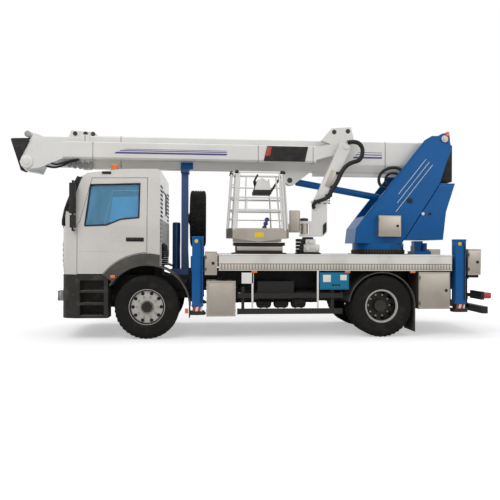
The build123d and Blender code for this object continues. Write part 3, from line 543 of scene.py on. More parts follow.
def tyre(shape, centre, axis):
    """Tyre with a row of notches cut in each shoulder."""
    outline = tread_profile()
    profile = outline + [(r, -w) for r, w in reversed(outline)]
    start = len(shape.mesh.verts)
    shape.turned(profile, centre, axis, 120, True)
    shape.mesh.verts.ensure_lookup_table()
    middle = at(*centre)
    across = {"X": 0, "Y": 1}[axis]
    shoulder_r, shoulder_w = 0.505, 0.06
    notches, lag, share, depth = 40, 0.8, 0.55, 0.011
    for v in shape.mesh.verts[start:]:
        flat = v.co - middle
        w = flat[across]
        flat[across] = 0
        if flat.length < shoulder_r or abs(w) < shoulder_w:
            continue
        angle = math.atan2(flat.z, flat.x if axis == "Y" else flat.y)
        if math.sin(angle * notches + (lag if w > 0 else 0)) > share:
            v.co -= flat.normalized() * depth


def tyres():
    for side, s in LEFT_RIGHT:
        rubber = Shape()
        tyre(rubber, (0, s * FRONT_TRACK_Y, TYRE_R), "Y")
        rubber.made(f"front_tyre_{side}", RUBBER, f"wheel_front_{side}", replaces=[f"tyre_front_{side}"])
        rubber = Shape()
        for row in (REAR_OUTER_Y, REAR_INNER_Y):
            tyre(rubber, (WHEELBASE, s * row, TYRE_R), "Y")
        rubber.made(f"rear_tyres_{side}", RUBBER, f"wheels_rear_{side}", replaces=[f"tyres_rear_{side}"])
    rubber = Shape()
    tyre(rubber, SPARE, "X")
    rubber.made("spare_wheel_tyre", RUBBER, replaces=["spare_tyre"])


# Cab trim.

def between(points, value):
    """Straight-line value between the rows of (key, value)."""
    for (a, low), (b, high) in zip(points, points[1:]):
        if value <= b:
            return low + (high - low) * (value - a) / (b - a)
    return points[-1][1]


NOSE = ((1055, -1330), (1300, -1440), (1560, -1425), (1790, -1400), (2600, -1110))


def cab_front(y, z):
    """How far forward the cab's face reaches at y and z."""
    arc = 4432 - math.sqrt(5882 ** 2 - y ** 2)
    return arc if z < NOSE[0][0] else max(arc, between(NOSE, z))


def cab_side(z):
    """Half width of the cab at the height z."""
    return between(((0, SIDE), (1850, SIDE), (2640, SIDE - 80), (2790, SIDE - 190)), z)


def curved_bar(shape, y, z, proud):
    """Bar across the cab's curved face between the pairs y and z."""
    steps, sunk = 12, 12
    rings = []
    for k in range(steps + 1):
        py = y[0] + (y[1] - y[0]) * k / steps
        corners = ((-proud, z[0]), (-proud, z[1]), (sunk, z[1]), (sunk, z[0]))
        rings.append([at(cab_front(py, pz) + back, py, pz) for back, pz in corners])
    shape.prism(rings, 3)


def face_bars(shape, half, heights, proud):
    """Bars over the middle of the cab's face, half as their half width."""
    for z in heights:
        curved_bar(shape, (-half, half), z, proud)
    return shape


def cab_trim():
    seal = Shape()
    edge = ((-1358, 1050, 1850), (-1352, 1082, 1930), (-1296, 1184, 2097), (-1258, 1200, 2200),
            (-1219, 1204, 2300), (-1125, 1176, 2570), (-1098, 1160, 2630))
    for s in BOTH:
        seal.tube([(x, s * y, z) for x, y, z in edge], 27, 10)
        rings = []
        for x, y, z in edge:
            back = min(y + 46, cab_side(z) + 3)
            corners = ((x - 4, y + 4), (x + 62, back + 4), (x + 62, back - 14), (x + 6, y - 14))
            rings.append([at(px, s * py, z) for px, py in corners])
        seal.prism(rings, 2)
    face_bars(seal, 1040, ((1806, 1846),), 10)
    face_bars(seal, 1000, ((2590, 2622),), 10)
    seal.made("screen_pillar_trim", DARK_PLASTIC)
    grille = face_bars(Shape(), 830, ((1130, 1182), (1180, 1242), (1240, 1302), (1298, 1590)), 15)
    grille.made("grille_back", DARK_PLASTIC)
    slats = face_bars(Shape(), 800, [(z, z + 50) for z in range(1156, 1560, 88)], 28)
    slats.made("grille_slats", WHITE)
    face_bars(Shape(), 260, ((600, 710),), 10).made("front_plate", STRIPE_WHITE, slot="cab_white")
    slots = face_bars(Shape(), 600, [(z, z + 50) for z in (800, 880, 960)], 5)
    for s in BOTH:
        curved_bar(slots, span(s, 420, 640), (560, 700), 6)
    slots.made("bumper_slots", HUB_BLACK)
    face_bars(Shape(), 1060, ((1030, 1046), (500, 514)), 4).made("bumper_seams", HUB_BLACK)
    wipers = Shape()

    def on_face(y, z, proud):
        return cab_front(y, z) - proud, y, z

    for y in (-700, 150):
        wipers.tube((on_face(y, 1800, 16), on_face(y + 300, 2080, 26)), 9, 8)
        wipers.tube((on_face(y + 40, 1960, 16), on_face(y + 620, 2210, 16)), 11, 6)
    wipers.made("wipers", DARK_PLASTIC)
    Shape().blocks((-1458, -1330), (694, 1016), (614, 786), 22).made("headlamp_lenses", CLEAR_LENS)
    bowls = Shape().blocks((-1400, -1300), (700, 1010), (620, 780), 18)
    bowl = ((0, -1404), (16, -1404), (30, -1410), (62, -1446), (68, -1446), (68, -1390), (0, -1390))
    for y in (-925, -780, 780, 925):
        bowls.turned(bowl, (0, y, 700), "X", 28)
    bowls.made("headlamp_bowls", RIM_SILVER, slot="lamp")
    Shape().blocks((-735, -590), (1085, 1150), (2684, 2726), 10).made("roof_markers", DARK_PLASTIC)
    amber = Shape().blocks((-578, -502), (SIDE + 4, SIDE + 24), (994, 1044), 8)
    amber.blocks((612, 668), (SIDE - 14, SIDE + 4), (420, 500), 8)
    for x in (1700, 3260, 4380):
        amber.blocks((x, x + 90), (SIDE - 20, SIDE + 6), (1080, 1118), 6)
    amber.made("side_markers", ORANGE)
    intake = Shape()
    for z in range(1200, 1425, 32):
        intake.turned(((46, 0), (60, 6), (60, 22), (46, 28)), (268, -930, z), "Z", 20)
    intake.tube(((268, -930, 1440), (262, -930, 1500), (215, -930, 1540)), 46, 14)
    intake.made("air_intake_hose", DARK_PLASTIC)


def doors():
    outline = ((-985, 1835), (-905, 2500), (-125, 2530), (-135, 1975), (-420, 1945), (-640, 1850))
    for side, s in LEFT_RIGHT:
        loop = [(x, s * (cab_side(z) - 2), z) for x, z in outline]
        Shape().tube(loop + loop[:1], 13, 8).made(f"window_seal_{side}", DARK_PLASTIC, f"door_{side}")
        handle = Shape().block((-335, -50), span(s, SIDE - 4, SIDE + 5), (1586, 1652), 12)
        handle.block((-310, -70), span(s, SIDE + 4, SIDE + 26), (1606, 1634), 9)
        handle.made(f"door_handle_{side}", DARK_PLASTIC, f"door_{side}")
        line = ((-1085, 1438), (-20, 1426), (-20, 1416), (-1085, 1426))
        Shape().plate(line, span(s, SIDE - 2, SIDE + 4), 2).made(f"door_crease_{side}", WHITE, f"door_{side}")


def rear_wall():
    rib = small(lambda s: s.block((-17, 17), (-320, 320), (-3, 15), 8))
    turn = Matrix.Rotation(math.pi / 2, 4, "Z") @ Matrix.Rotation(math.pi / 2, 4, "X")
    repeated(in_rows(13, 2.1), rib, [Matrix.Translation(at(205, 0, 1640)) @ turn], "rear_wall_ribs", WHITE)
    # Dark grey slats on the rear wall: painted shade, a dark sheet where the ribs' shadows fall.
    slats = Shape()
    for z in range(1580, 2560, 70):
        slats.blocks((202, 212), (660, 1080), (z, z + 34))
    slats.made("rear_wall_slats", ARCH_GREY)


# Hubs, nuts and rim edges.

def wheel_fittings():
    for side, s in LEFT_RIGHT:
        turn = Matrix.Rotation(-s * math.pi / 2, 4, "X")
        rows = (("front", f"wheel_front_{side}", 0, FRONT_TRACK_Y, 77, 168, 84, 99, 258, HUB_BLACK, "black"),
                ("rear", f"wheels_rear_{side}", WHEELBASE, REAR_OUTER_Y, -93, 186, -40, 107, 248, RIM_SILVER,
                 "rim_silver"))
        for place, body, x, row, nut_out, nut_r, cap_out, cap_r, inner, look, slot in rows:
            spot = Matrix.Translation(at(x, s * (row + nut_out), TYRE_R)) @ turn
            repeated(in_ring(10, nut_r / 1000), nut(19, 30), [spot], f"{place}_nuts_{side}", STEEL, body,
                     "rim_silver")
            dome = ((0, 0), (cap_r, 0), (cap_r + 4, 8), (cap_r, 34), (cap_r - 18, 46), (cap_r - 26, 44),
                    (0, 50))
            cap = Shape().turned(facing(s, dome), (x, s * (row + cap_out), TYRE_R), "Y", 40)
            cap.made(f"{place}_hub_cap_{side}", HUB_BLACK, body)
            if place == "front":
                disc = facing(s, ((152, 36), (268, 36), (268, 54), (152, 54)))
                drum = Shape().turned(disc, (x, s * row, TYRE_R), "Y", 48, True)
                drum.made(f"brake_drum_{side}", BLACK, body)
            lip = ((inner, -28), (inner + 8, -30), (266, -6), (276, -6), (282, 2), (278, 9), (266, 8),
                   (inner, -20))
            edge = Shape().turned(facing(s, lip), (x, s * (row + TYRE_W / 2 - 34), TYRE_R), "Y", 64, True)
            edge.made(f"{place}_rim_edge_{side}", look, body, slot)


# Boom, jib and arm.

def boom_fittings():
    px = BOOM_PIVOT[0]
    tail = Shape().block((px + 14, px + 250), (-172, 172), (2738, 3436), 26)
    tail.block((px + 244, px + 254), (-140, 140), (2800, 3380), 4)
    tail.made("boom_tail_cover", DARK_PLASTIC, "boom")
    shoe = Shape().plate(((492, 2898), (492, 3018), (709, 3018), (709, 2898)), (-178, -150), 8)
    shoe.made("boom_saddle_shoe", BLUE, "boom")
    bands = Shape()
    for x, low, high, y in ((-1180, 2884, 3482, 187), (-560, 2896, 3464, 173), (4230, 2896, 3464, 173)):
        outline = ((-y, low + 132), (-y, high - 15), (15 - y, high), (y - 15, high), (y, high - 15),
                   (y, low + 132), (110, low), (-110, low))
        bands.slice(outline, (x - 9, x + 9), 2)
    bands.made("boom_bands", LIGHT_GREY, "boom", slot="cab_white")
    marks = Shape()
    for z, high, x in ((3150, 34, (3620, 4180)), (3210, 18, (3660, 4180)), (3255, 10, (3700, 4180))):
        marks.plate(((x[0], z), (x[0] + 30, z + high), (x[1], z + high), (x[1] - 20, z)), (-172, -168), 0)
    marks.made("boom_stripes", VIOLET, "boom")
    pins = Shape()
    for x in (-1370, -1190, -1060):
        pins.caps(((0, -16), (34, -16), (38, -8), (38, 8), (34, 16), (0, 16)), (x, 74, 3512))
    pins.caps(((0, -2), (44, -2), (48, 8), (34, 16), (0, 18)), (2463, 110, 2734))
    pins.made("collar_pins", CAST, "boom")


def jib_fittings():
    outline = ((2016, 3302), (2748, 3302), (2692, 3032), (1954, 3032))
    panel = Shape().plate(outline, (JIB_Y - 12, JIB_Y + 2), 6)
    for z in (3098, 3168, 3238):
        panel.plate(((2120, z), (2650, z), (2646, z + 10), (2124, z + 10)), (JIB_Y - 18, JIB_Y - 10), 2)
    panel.made("jib_cable_cover", DARK_PLASTIC, "jib")
    red = Shape().plate(((2018, 3284), (2100, 3284), (2066, 3118), (1984, 3118)), (JIB_Y - 22, JIB_Y - 10), 6)
    red.made("jib_red_lens", LAMP_RED, "jib")
    bands = Shape()
    for x in (-1000, 1860, 2840):
        outline = ((JIB_Y - 4, 3050), (JIB_Y - 4, 3302), (JIB_Y + 26, 3319), (-224, 3319), (-196, 3302),
                   (-196, 3050), (-226, 3016), (JIB_Y + 26, 3016))
        bands.slice(outline, (x - 8, x + 8), 2)
    bands.made("jib_bands", LIGHT_GREY, "jib", slot="cab_white")
    stripes = Shape()
    for x, z, high in (((-640, 1320), 3118, 30), ((-560, 1320), 3164, 14), ((-480, 1320), 3192, 8)):
        outline = ((x[0], z), (x[0] + 40, z + high), (x[1], z + high), (x[1] - 30, z))
        stripes.plate(outline, (JIB_Y - 3, JIB_Y + 1), 0)
    stripes.made("jib_stripes", VIOLET, "jib")
    fold_cap = ((0, 4), (96, 4), (104, -4), (104, -16), (84, -22), (60, -22), (52, -34), (0, -36))
    pin = Shape().turned(fold_cap, (-2100, JIB_Y - 4, 2946), "Y", 36)
    neck_cap = ((0, 4), (58, 4), (62, -8), (40, -14), (0, -16))
    pin.turned(neck_cap, (NECK_PIVOT[0], -640, NECK_PIVOT[1]), "Y", 28)
    pin.made("jib_pin_caps", BOOM_WHITE, "jib")
    roller = Shape().caps(((0, -4), (52, -4), (56, 4), (44, 14), (20, 16), (0, 18)), (-2180, 92, 3484), 28)
    roller.made("tip_roller_caps", LIGHT_GREY, "boom")
    pads = Shape()
    for k, low in enumerate((2948, 2920, 2894, 2880, 2872, 2868, 2868)):
        x = -1665 + 92 * k
        outline = ((x, low + 26), (x + 18, low), (x + 52, low), (x + 70, low + 26), (x + 70, 2996), (x, 2996))
        pads.plate(outline, (-176, -140), 8)
    pads.made("boom_slide_pads", LIGHT_GREY, "boom")
    link = Shape()
    for x, z in ((3230, 3585), (3480, 3605)):
        link.turned(((0, 4), (40, 4), (42, -2), (30, -5), (0, -6)), (x, -395, z), "Y", 24)
    link.made("link_pins", CAST, "level_link")


def hose(name, body, points, diameter):
    """Rubber hose through points, both ends held on one body."""
    curve = bpy.data.curves.new(name, "CURVE")
    curve.dimensions = "3D"
    curve.resolution_u = 8
    line = curve.splines.new("NURBS")
    line.points.add(len(points) - 1)
    for spot, p in zip(line.points, points):
        spot.co = (*at(*p), 1)
    line.order_u = 3
    line.use_endpoint_u = True
    piece = bpy.data.objects.new(name, curve)
    bpy.context.collection.objects.link(piece)
    bpy.context.view_layer.update()
    bare = bpy.data.meshes.new_from_object(piece.evaluated_get(bpy.context.evaluated_depsgraph_get()))
    curve.bevel_depth = diameter / 2000
    curve.bevel_resolution = 3
    curve.use_fill_caps = True
    curve.materials.append(HOSE_BLACK)
    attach(piece, body)


def hoses():
    x, z = NECK_PIVOT
    loop = ((20, -655, 60), (170, -690, 90), (290, -720, -40), (250, -720, -260), (60, -690, -300),
            (-70, -665, -420), (-160, -662, -640), (-270, -662, -800), (-330, -660, -930))
    low = ((-300, -668, -900), (-430, -690, -960), (-560, -690, -1000), (-600, -672, -1060),
           (-570, -655, -1105))
    near = ((-1750, -430, 2960), (-1640, -440, 2900), (-1500, -440, 2940), (-1380, -430, 2985),
            (-1240, -420, 3012))
    far = ((-1820, -330, 2900), (-1700, -330, 2860), (-1540, -330, 2900), (-1380, -330, 2990),
           (-1250, -330, 3012))
    outer = ((4480, -366, 2540), (4300, -330, 2560), (4070, -310, 2640), (4080, -310, 2860),
             (4280, -310, 2985), (4500, -320, 2960), (4640, -366, 2800))
    inner = ((4500, -366, 2600), (4360, -300, 2610), (4200, -250, 2690), (4230, -250, 2850),
             (4400, -280, 2900), (4580, -366, 2780))
    hose("arm_hose_loop", "gooseneck", [(x + dx, y, z + dz) for dx, y, dz in loop], 76)
    hose("arm_hose_low", "gooseneck", [(x + dx, y, z + dz) for dx, y, dz in low], 65)
    hose("tip_hose_near", "jib", near, 34)
    hose("tip_hose_far", "jib", far, 34)
    hose("turret_hose_outer", "turret", outer, 56)
    hose("turret_hose_inner", "turret", inner, 44)


def arm_fittings():
    x, z = NECK_PIVOT
    bolts = Shape()
    for dx in (-560, -470, -380, -300):
        for up, flange_z in ((1, 2330), (-1, 2290)):
            head = facing(up, ((0, 0), (17, 0), (17, 12), (10, 16), (0, 16)))
            bolts.turned(head, (x + dx, -640, flange_z), "Z", 6)
    bolts.made("arm_flange_bolts", CAST, "gooseneck")
    clamps = Shape()
    for dx, dz in ((-110, -480), (-215, -730), (-300, -880)):
        clamps.block((x + dx - 70, x + dx + 50), (-668, -628), (z + dz - 22, z + dz + 22), 6)
    clamps.made("hose_clamps", DARK_PLASTIC, "gooseneck")
    turn = ((0, 0), (60, 0), (74, 14), (74, 40), (56, 52), (0, 56))
    Shape().turned(turn, (2665, -560, 1970), "Z", 28).made("rotator_block", CAST, "gooseneck")
    stack = Shape()
    for z in range(1450, 1631, 60):
        stack.block((2512, 2628), (-690, -580), (z - 26, z + 26), 9)
        stack.turned(((0, 0), (20, 0), (24, -16), (14, -38), (0, -40)), (2570, -690, z), "Y", 16)
    stack.made("arm_valves", DARK_PLASTIC)
    manifold = Shape().block((2646, 2930), (-664, -620), (1424, 1560), 18)
    manifold.block((2680, 2860), (-656, -624), (1556, 1650), 20)
    for port_x, port_z in ((2700, 1480), (2790, 1500), (2880, 1480), (2760, 1606)):
        manifold.turned(((0, 2), (30, 2), (34, -6), (24, -22), (0, -24)), (port_x, -662, port_z), "Y", 20)
    manifold.made("arm_manifold", BOOM_WHITE)
    tray = Shape()
    for y in ((-1084, -1078), (-622, -616)):
        tray.block((1460, 2226), y, (1450, 1516))
    tray.made("basket_frame_tray", STEEL)
    plate = Shape().plate(((3146, 2872), (3236, 2840), (3110, 2560), (3020, 2600)), (-652, -636), 6)
    plate.made("arm_cover_plate", STEEL, "gooseneck")
    cover = Shape().plate(((2990, 1900), (3052, 1960), (3052, 1790), (2990, 1720)), (-650, -628), 10)
    cover.made("arm_foot_pad", DARK_PLASTIC, "gooseneck")


# Turret.

def turret_fittings():
    stud = small(lambda s: s.block((-8, 8), (-9, 9), (-30, 30)))
    repeated(in_ring(60, 0.489), stud, [Matrix.Translation(at(SLEW_X, 0, 1437))], "slew_ring_studs", CAST)
    dome = ((0, 0), (46, 0), (46, 16), (40, 20), (38, 66), (26, 82), (0, 86))
    Shape().turned(dome, (5330, -398, 3553), "Z", 28).made("turret_beacon", ORANGE, "turret")
    px, pz = BOOM_PIVOT
    cap = ((0, 0), (62, 0), (66, 8), (58, 18), (34, 20), (30, 32), (0, 34))
    Shape().caps(cap, (px, WEIGHT_Y, pz), 32).made("turret_pin_caps", STEEL, "turret", slot="chrome")
    door = Shape().block((4030, 4405), (-566, -559), (1728, 2070), 5)
    for z in (1790, 2008):
        door.turned(((0, -24), (9, -24), (9, 24), (0, 24)), (4030, -566, z), "Z", 12)
    door.made("control_box_door", STEEL, "turret")
    button = ((0, 2), (26, 2), (28, -6), (0, -9))
    latch = Shape().turned(((0, 2), (22, 2), (24, -6), (16, -14), (0, -15)), (4358, -566, 1900), "Y", 24)
    latch.turned(button, (4995, -WEIGHT_Y, 2130), "Y", 24)
    latch.caps(((0, -2), (44, -2), (48, 6), (30, 12), (0, 13)), (4620, WEIGHT_Y, 2367), 28)
    latch.made("turret_latches", DARK_PLASTIC, "turret")
    Shape().turned(button, (4865, -WEIGHT_Y, 2130), "Y", 24).made("weight_disc", STRIPE_WHITE, "turret")
    seams = Shape()
    for outline in (((4570, 1700), (5225, 1702), (5225, 1712), (4577, 1710)),
                    ((5158, 2640), (5428, 2640), (5432, 2652), (5166, 2652))):
        seams.plates(outline, (WEIGHT_Y - 2, WEIGHT_Y + 3), 0)
    seams.made("weight_seams", DARK_BLUE, "turret")
    edge = ((-345, 2080), (763, 3475), (894, 3553), (905, 3530), (782, 3458), (-326, 2066))
    rim = Shape().plates([(SLEW_X + x, z) for x, z in edge], (TURRET_Y - 1, TURRET_Y + 8))
    rim.made("cheek_edge", BLUE, "turret")
    stripes = Shape()
    foot = Vector((SLEW_X - 345, 2080))
    along, off = Vector((0.622, 0.783)), Vector((0.783, -0.622))
    for start, inset in ((700, 230), (560, 310), (420, 390)):
        corners = ((start, inset), (1520, inset), (1520, inset + 8), (start, inset + 8))
        outline = [tuple(foot + along * a + off * b) for a, b in corners]
        stripes.plates(outline, (TURRET_Y - 1, TURRET_Y + 3), 0)
    stripes.made("turret_stripes", STRIPE_WHITE, "turret")


# Basket.

RIM_Z, TOP_Z = BASKET_Z[0] + 215, BASKET_Z[1] - 24


def basket_posts():
    """Foot and top of each basket post."""
    x, y = BASKET_X, BASKET_Y
    foot = ((x[0] + 95, y[0]), (x[1] - 40, y[0]), (x[1], y[0] + 50), (x[1], y[1]), (x[0] + 95, y[1]),
            (x[0], y[1] - 190), (x[0], y[0] + 190))
    middle = Vector(((x[0] + x[1]) / 2, (y[0] + y[1]) / 2, 0))
    posts = []
    for px, py in foot:
        low = Vector((px, py, 0)) + (middle - Vector((px, py, 0))).normalized() * 22
        top = Vector((low.x + (middle.x - low.x) * 0.13, low.y + (middle.y - low.y) * 0.05, TOP_Z))
        posts.append((Vector((low.x, low.y, RIM_Z)), top))
    return posts


def basket_fittings():
    posts = basket_posts()
    balls = Shape()
    arc = [math.radians(a) for a in range(-80, 81, 20)]
    ball = [(0, -34)] + [(34 * math.cos(a), 34 * math.sin(a)) for a in arc] + [(0, 34)]
    for low, top in posts:
        balls.turned(ball, tuple(top), "Z", 20)
    balls.made("basket_corner_balls", DARK_PLASTIC, "basket")
    plate = Shape().block((1752, 1902), (-1196, -1189), (1668, 1752), 3)
    plate.made("basket_blank_plate", YELLOW, "basket", slot="panel_blue")
    rivet = small(lambda s: s.turned(((0, 0), (7, 0), (6, 4), (0, 6)), (0, 0, 0), "Z", 8))
    repeated(in_rows(12, 0.84), rivet, [to_side(1832, BASKET_Y[0], 1786)], "skirt_rivets", STEEL, "basket")
    loop = [tuple(low) for low, top in posts]
    Shape().tube(loop + loop[:1], 12, 8).made("tub_top_edge", STEEL, "basket")
    bars = Shape()

    def spot(k, share):
        low, top = posts[k]
        return low + (top - low) * share

    for share in (0.18, 0.78):
        for a, b in ((0, 6), (6, 5), (5, 4), (4, 3)):
            bars.tube((spot(a, share), spot(b, share)), 9, 8)
    for near, far, low, high in ((0, 1, 0.335, 0.553), (4, 3, 0.335, 1.0)):
        bars.tube([spot(near, share).lerp(spot(far, share), 0.24) for share in (high, low)], 9, 8)
    for k, dx in ((0, 44), (1, -44)):
        bars.tube([spot(k, share) + Vector((dx, 6, 0)) for share in (0.0, 0.98)], 17, 10)
    bars.tube(((2180, -1120, RIM_Z), (2150, -1080, 2200), (2110, -1060, 2700)), 13, 8)
    bars.tube(((2080, -560, RIM_Z), (2060, -580, 2200), (2030, -590, 2700)), 13, 8)
    bars.made("basket_bars", BOOM_WHITE, "basket")
    left, right, under = BASKET_X[1] - 576, BASKET_X[1] - 286, BASKET_Z[0] + 808
    desk = Shape().block((left - 8, right + 8), (-1032, -658), (under - 4, under + 62), 14)
    for y in (-975, -845, -715):
        desk.tube(((left + 40, y, under + 150), (left + 20, y, under + 230), (left + 70, y, under + 330)), 15)
    desk.made("console_base", DARK_PLASTIC, "basket")
    shell = ((left + 4, under + 66), (left + 62, under + 236), (left + 150, under + 268),
             (right - 26, under + 196), (right + 4, under + 66))
    Shape().plate(shell, (-1026, -664), 16).made("console_lid", BOOM_WHITE, "basket")
    keys = Shape()
    for y in (-930, -890, -800, -760):
        keys.turned(((0, 0), (13, 0), (13, 8), (9, 14), (0, 15)), (left + 150, y, under + 262), "Z", 14)
    keys.made("console_buttons", STRIPE_RED, "basket")
    coil = Shape()
    for k in range(3):
        centre = (1960 + 22 * k, -600, 1850 + 70 * k)
        coil.turned(((0, -60), (34, -60), (40, -40), (40, 40), (34, 60), (0, 60)), centre, "Y", 20)
    coil.made("basket_coil", VIOLET, "basket", slot="dark_blue")
    case = Shape().block((2390, 2546), (-808, -798), (1786, 2139), 5)
    case.block((2556, 2562), (-790, -674), (1795, 2130), 3)
    case.made("basket_box_lid", STEEL, "basket")


# Outriggers.

def leg_fittings():
    reach, step = 78, 40
    rows = (("front", 815, 532, 1674, 393), ("rear", WHEELBASE + 1365, 554, 1652, 418))
    for place, x, bottom, top, foot in rows:
        for side, s in LEFT_RIGHT:
            jack, leg, where = f"jack_{place}_{side}", f"outrigger_{place}_{side}", f"{place}_{side}"
            red, white = Shape(), Shape()
            low, high = foot + 60, bottom - 4
            for k in range(4):
                a = x - reach + step * k
                outline = ((a, low), (a + step / 2, high), (a + step * 1.5, high), (a + step, low))
                outline = [(min(px, x + reach), pz) for px, pz in outline]
                (white if k % 2 else red).plate(outline, span(s, SIDE - 13, SIDE - 8), 0)
            red.made(f"foot_stripe_red_{where}", STRIPE_RED, jack)
            white.made(f"foot_stripe_white_{where}", STRIPE_WHITE, jack)
            turns = [math.radians(a) for a in range(0, 360, 30)]
            ends = [[at(x + 140 * math.cos(a) * k, s * 1155 + 116 * math.sin(a) * k, z) for a in turns]
                    for z, k in ((foot - 2, 0.94), (foot + 10, 1.0), (foot + 34, 1.0), (foot + 62, 0.72))]
            Shape().prism(ends, 3).made(f"foot_pad_{where}", BLACK, jack)
            collars = Shape().block((x - 96, x + 96), span(s, SIDE - 196, SIDE + 6), (top - 22, top + 4), 6)
            for z in (bottom, 1096):
                collars.block((x - 97, x + 97), span(s, SIDE - 197, SIDE + 7), (z, z + 26), 5)
            collars.made(f"leg_collars_{where}", BLUE, leg)
            path = ((60, 14, bottom + 60), (60, 14, top - 120), (40, 10, top - 60), (40, -30, top - 24))
            pipe = Shape().tube([(x + dx, s * (SIDE + out), z) for dx, out, z in path], 8, 8)
            pipe.made(f"leg_pipe_{where}", HOSE_BLACK, leg)
            disc = facing(s, ((0, -2), (30, -2), (30, 3), (26, 6), (0, 7)))
            dot = Shape().turned(disc, (x - 20, s * (SIDE + 3), top - 75), "Y", 24)
            dot.made(f"leg_reflector_{where}", YELLOW, leg)


# Deck and chassis sides.

def deck_fittings():
    ridge = small(lambda s: s.block((-17, 17), (-42, 42), (-2, 5), 2))
    front, rear = DECK_X
    middle, length = (front + rear) / 2, (rear - front - 40) / 1000
    places = [to_side(middle, -SIDE, 1180), to_side(middle, SIDE, 1180) @ Matrix.Rotation(math.pi, 4, "X")]
    repeated(in_rows(79, length), ridge, places, "deck_lip_ridges", LIP_METAL)
    # The band shows between the ridges in darker metal, painted shade in the grooves.
    band = Shape().blocks((front + 8, rear - 8), (SIDE - 6, SIDE + 2), (1132, 1234), 1)
    band.made("deck_lip_band", LIP_SHADE)
    trim = Shape()
    rails = ((30, 8, (1364, 1392), 7), (24, 6, (1236, 1250), 4), (24, 5, (1118, 1130), 3))
    for inside, out, z, soft in rails:
        trim.blocks((front - 4, rear + 4), (SIDE - inside, SIDE + out), z, soft)
    trim.made("deck_edge_trim", DECK_METAL)
    tread = small(lambda s: s.block((-14, 14), (-4, 4), (-1, 3), 0))
    field = Matrix.Translation(at(middle, 0, 1385))
    repeated(in_rows(66, length - 0.1, 40, 2.3), tread, [field], "deck_tread", DECK_METAL)


def locker_fittings():
    lids, latches = Shape(), Shape()
    for x, z, sides in (((4552, 5057), (500, 1070), BOTH), ((5410, 5607), (1075, 1462), BOTH),
                        ((950, 1113), (1070, 1406), (-1,))):
        for s in sides:
            lids.block(x, span(s, SIDE - 12, SIDE - 3), z, 10)
            latches.turned(facing(s, ((0, -2), (24, -2), (26, 5), (16, 12), (0, 13))),
                           (x[1] - 46, s * (SIDE - 4), (z[0] + z[1]) / 2), "Y", 20)
            for hinge_z in (z[0] + 70, z[1] - 70):
                hinge = ((0, -26), (9, -26), (9, 26), (0, 26))
                latches.turned(hinge, (x[0], s * (SIDE - 3), hinge_z), "Z", 10)
    lids.made("locker_lids", STEEL)
    latches.made("locker_latches", DARK_PLASTIC)


def side_fittings():
    face = -(SIDE - 10)
    tank = Shape()
    for inset, proud in ((36, 7), (62, 13)):
        tank.block((961 + inset, 1437 - inset), (face - proud, face + 3), (365 + inset, 948 - inset), 12)
    for z in (470, 840):
        tank.block((955, 1443), (face - 4, face + 6), (z - 14, z + 14), 3)
    tank.made("tank_panel", STEEL)
    cap = Shape().turned(((0, 0), (62, 0), (68, 8), (68, 26), (54, 34), (0, 36)), (1200, -900, 948), "Z", 32)
    cap.made("tank_cap", DARK_PLASTIC)
    Shape().block((2856, 3312), (-1256, -1245), (823, 1071), 8).made("panel_frame", PANEL_BLUE)
    blank = Shape().block((2890, 3020), (-1260, -1254), (930, 1050), 3)
    blank.block((3180, 3290), (-1260, -1254), (960, 1050), 3)
    blank.block((1535, 1735), (-1246, -1236), (905, 1085))
    for x in (1715, WHEELBASE - 1095):
        blank.block((x - 16, x + 16), (-1246, -1230), (500, 1118), 5)
    blank.made("blank_plates", STRIPE_WHITE)
    ends = Shape()
    for x in (3060, 3110, 3160):
        ends.turned(((0, 2), (16, 2), (18, -4), (10, -16), (0, -17)), (x, -1256, 880), "Y", 16)
    for x in (1477, WHEELBASE - 688):
        for z in ((660, 753), (395, 496)):
            ends.blocks((x - 12, x + 12), (1196, 1246), z, 8)
    ends.made("guard_end_caps", DARK_PLASTIC)


def air_tanks():
    """Air tanks with their straps, the two long ones hung from the frame."""
    tanks = Shape()
    short = [(-900, 560, 85, (x, x + 266), None) for x in (1796, 2092, 2388)]
    hung = [(-700, 690, 110, (2440, 3120), (-840, -455)), (700, 640, 130, (1800, 2900), (455, 840))]
    for y, z, radius, x, hanger in short + hung:
        end = ((0, 0), (radius * 0.55, 8), (radius * 0.9, 26), (radius, 62))
        far_end = tuple((r, x[1] - x[0] - w) for r, w in reversed(end))
        tanks.turned(end + far_end, (x[0], y, z), "X", 28)
        strap = ((radius - 4, -18), (radius + 6, -18), (radius + 6, 18), (radius - 4, 18))
        for station in (x[0] + 80, x[1] - 80):
            tanks.turned(strap, (station, y, z), "X", 28, True)
            if hanger:
                tanks.block((station - 15, station + 15), hanger, (z + radius - 4, 800))
    tanks.block((2506, 2536), (-920, -780), (620, 720))
    tanks.made("air_tanks", BLACK)


def tail_fittings():
    x = cad_box[1][0] * 1000 + ORIGIN_X
    lenses = Shape()
    for y in (826, 948, 1070):
        lenses.blocks((x - 14, x + 6), (y, y + 110), (646, 738), 10)
    lenses.made("rear_lamp_lenses", LAMP_RED)
    shells = Shape().blocks((x - 130, x - 2), (820, 1190), (640, 745), 12)
    shells.made("rear_lamp_shells", LAMP_RED, replaces=["lamps"])
    plate = Shape().block((x - 46, x - 36), (-260, 260), (560, 670), 6)
    plate.block((x - 180, x - 40), (-40, 40), (500, 640))
    plate.made("rear_plate", STRIPE_WHITE)


def step_fittings():
    tread = small(lambda s: s.block((-6, 6), (-80, 80), (-2, 6), 3))
    places = [Matrix.Translation(at(-870, s * 1150, z)) for s in BOTH for z in (395, 595, 795)]
    repeated(in_rows(14, 0.34), tread, places, "step_treads", STEEL, slot="grey_plastic")


tyres()
cab_trim()
doors()
rear_wall()
wheel_fittings()
boom_fittings()
jib_fittings()
hoses()
arm_fittings()
turret_fittings()
basket_fittings()
leg_fittings()
deck_fittings()
locker_fittings()
side_fittings()
air_tanks()
tail_fittings()
step_fittings()


# Stage, light and camera.

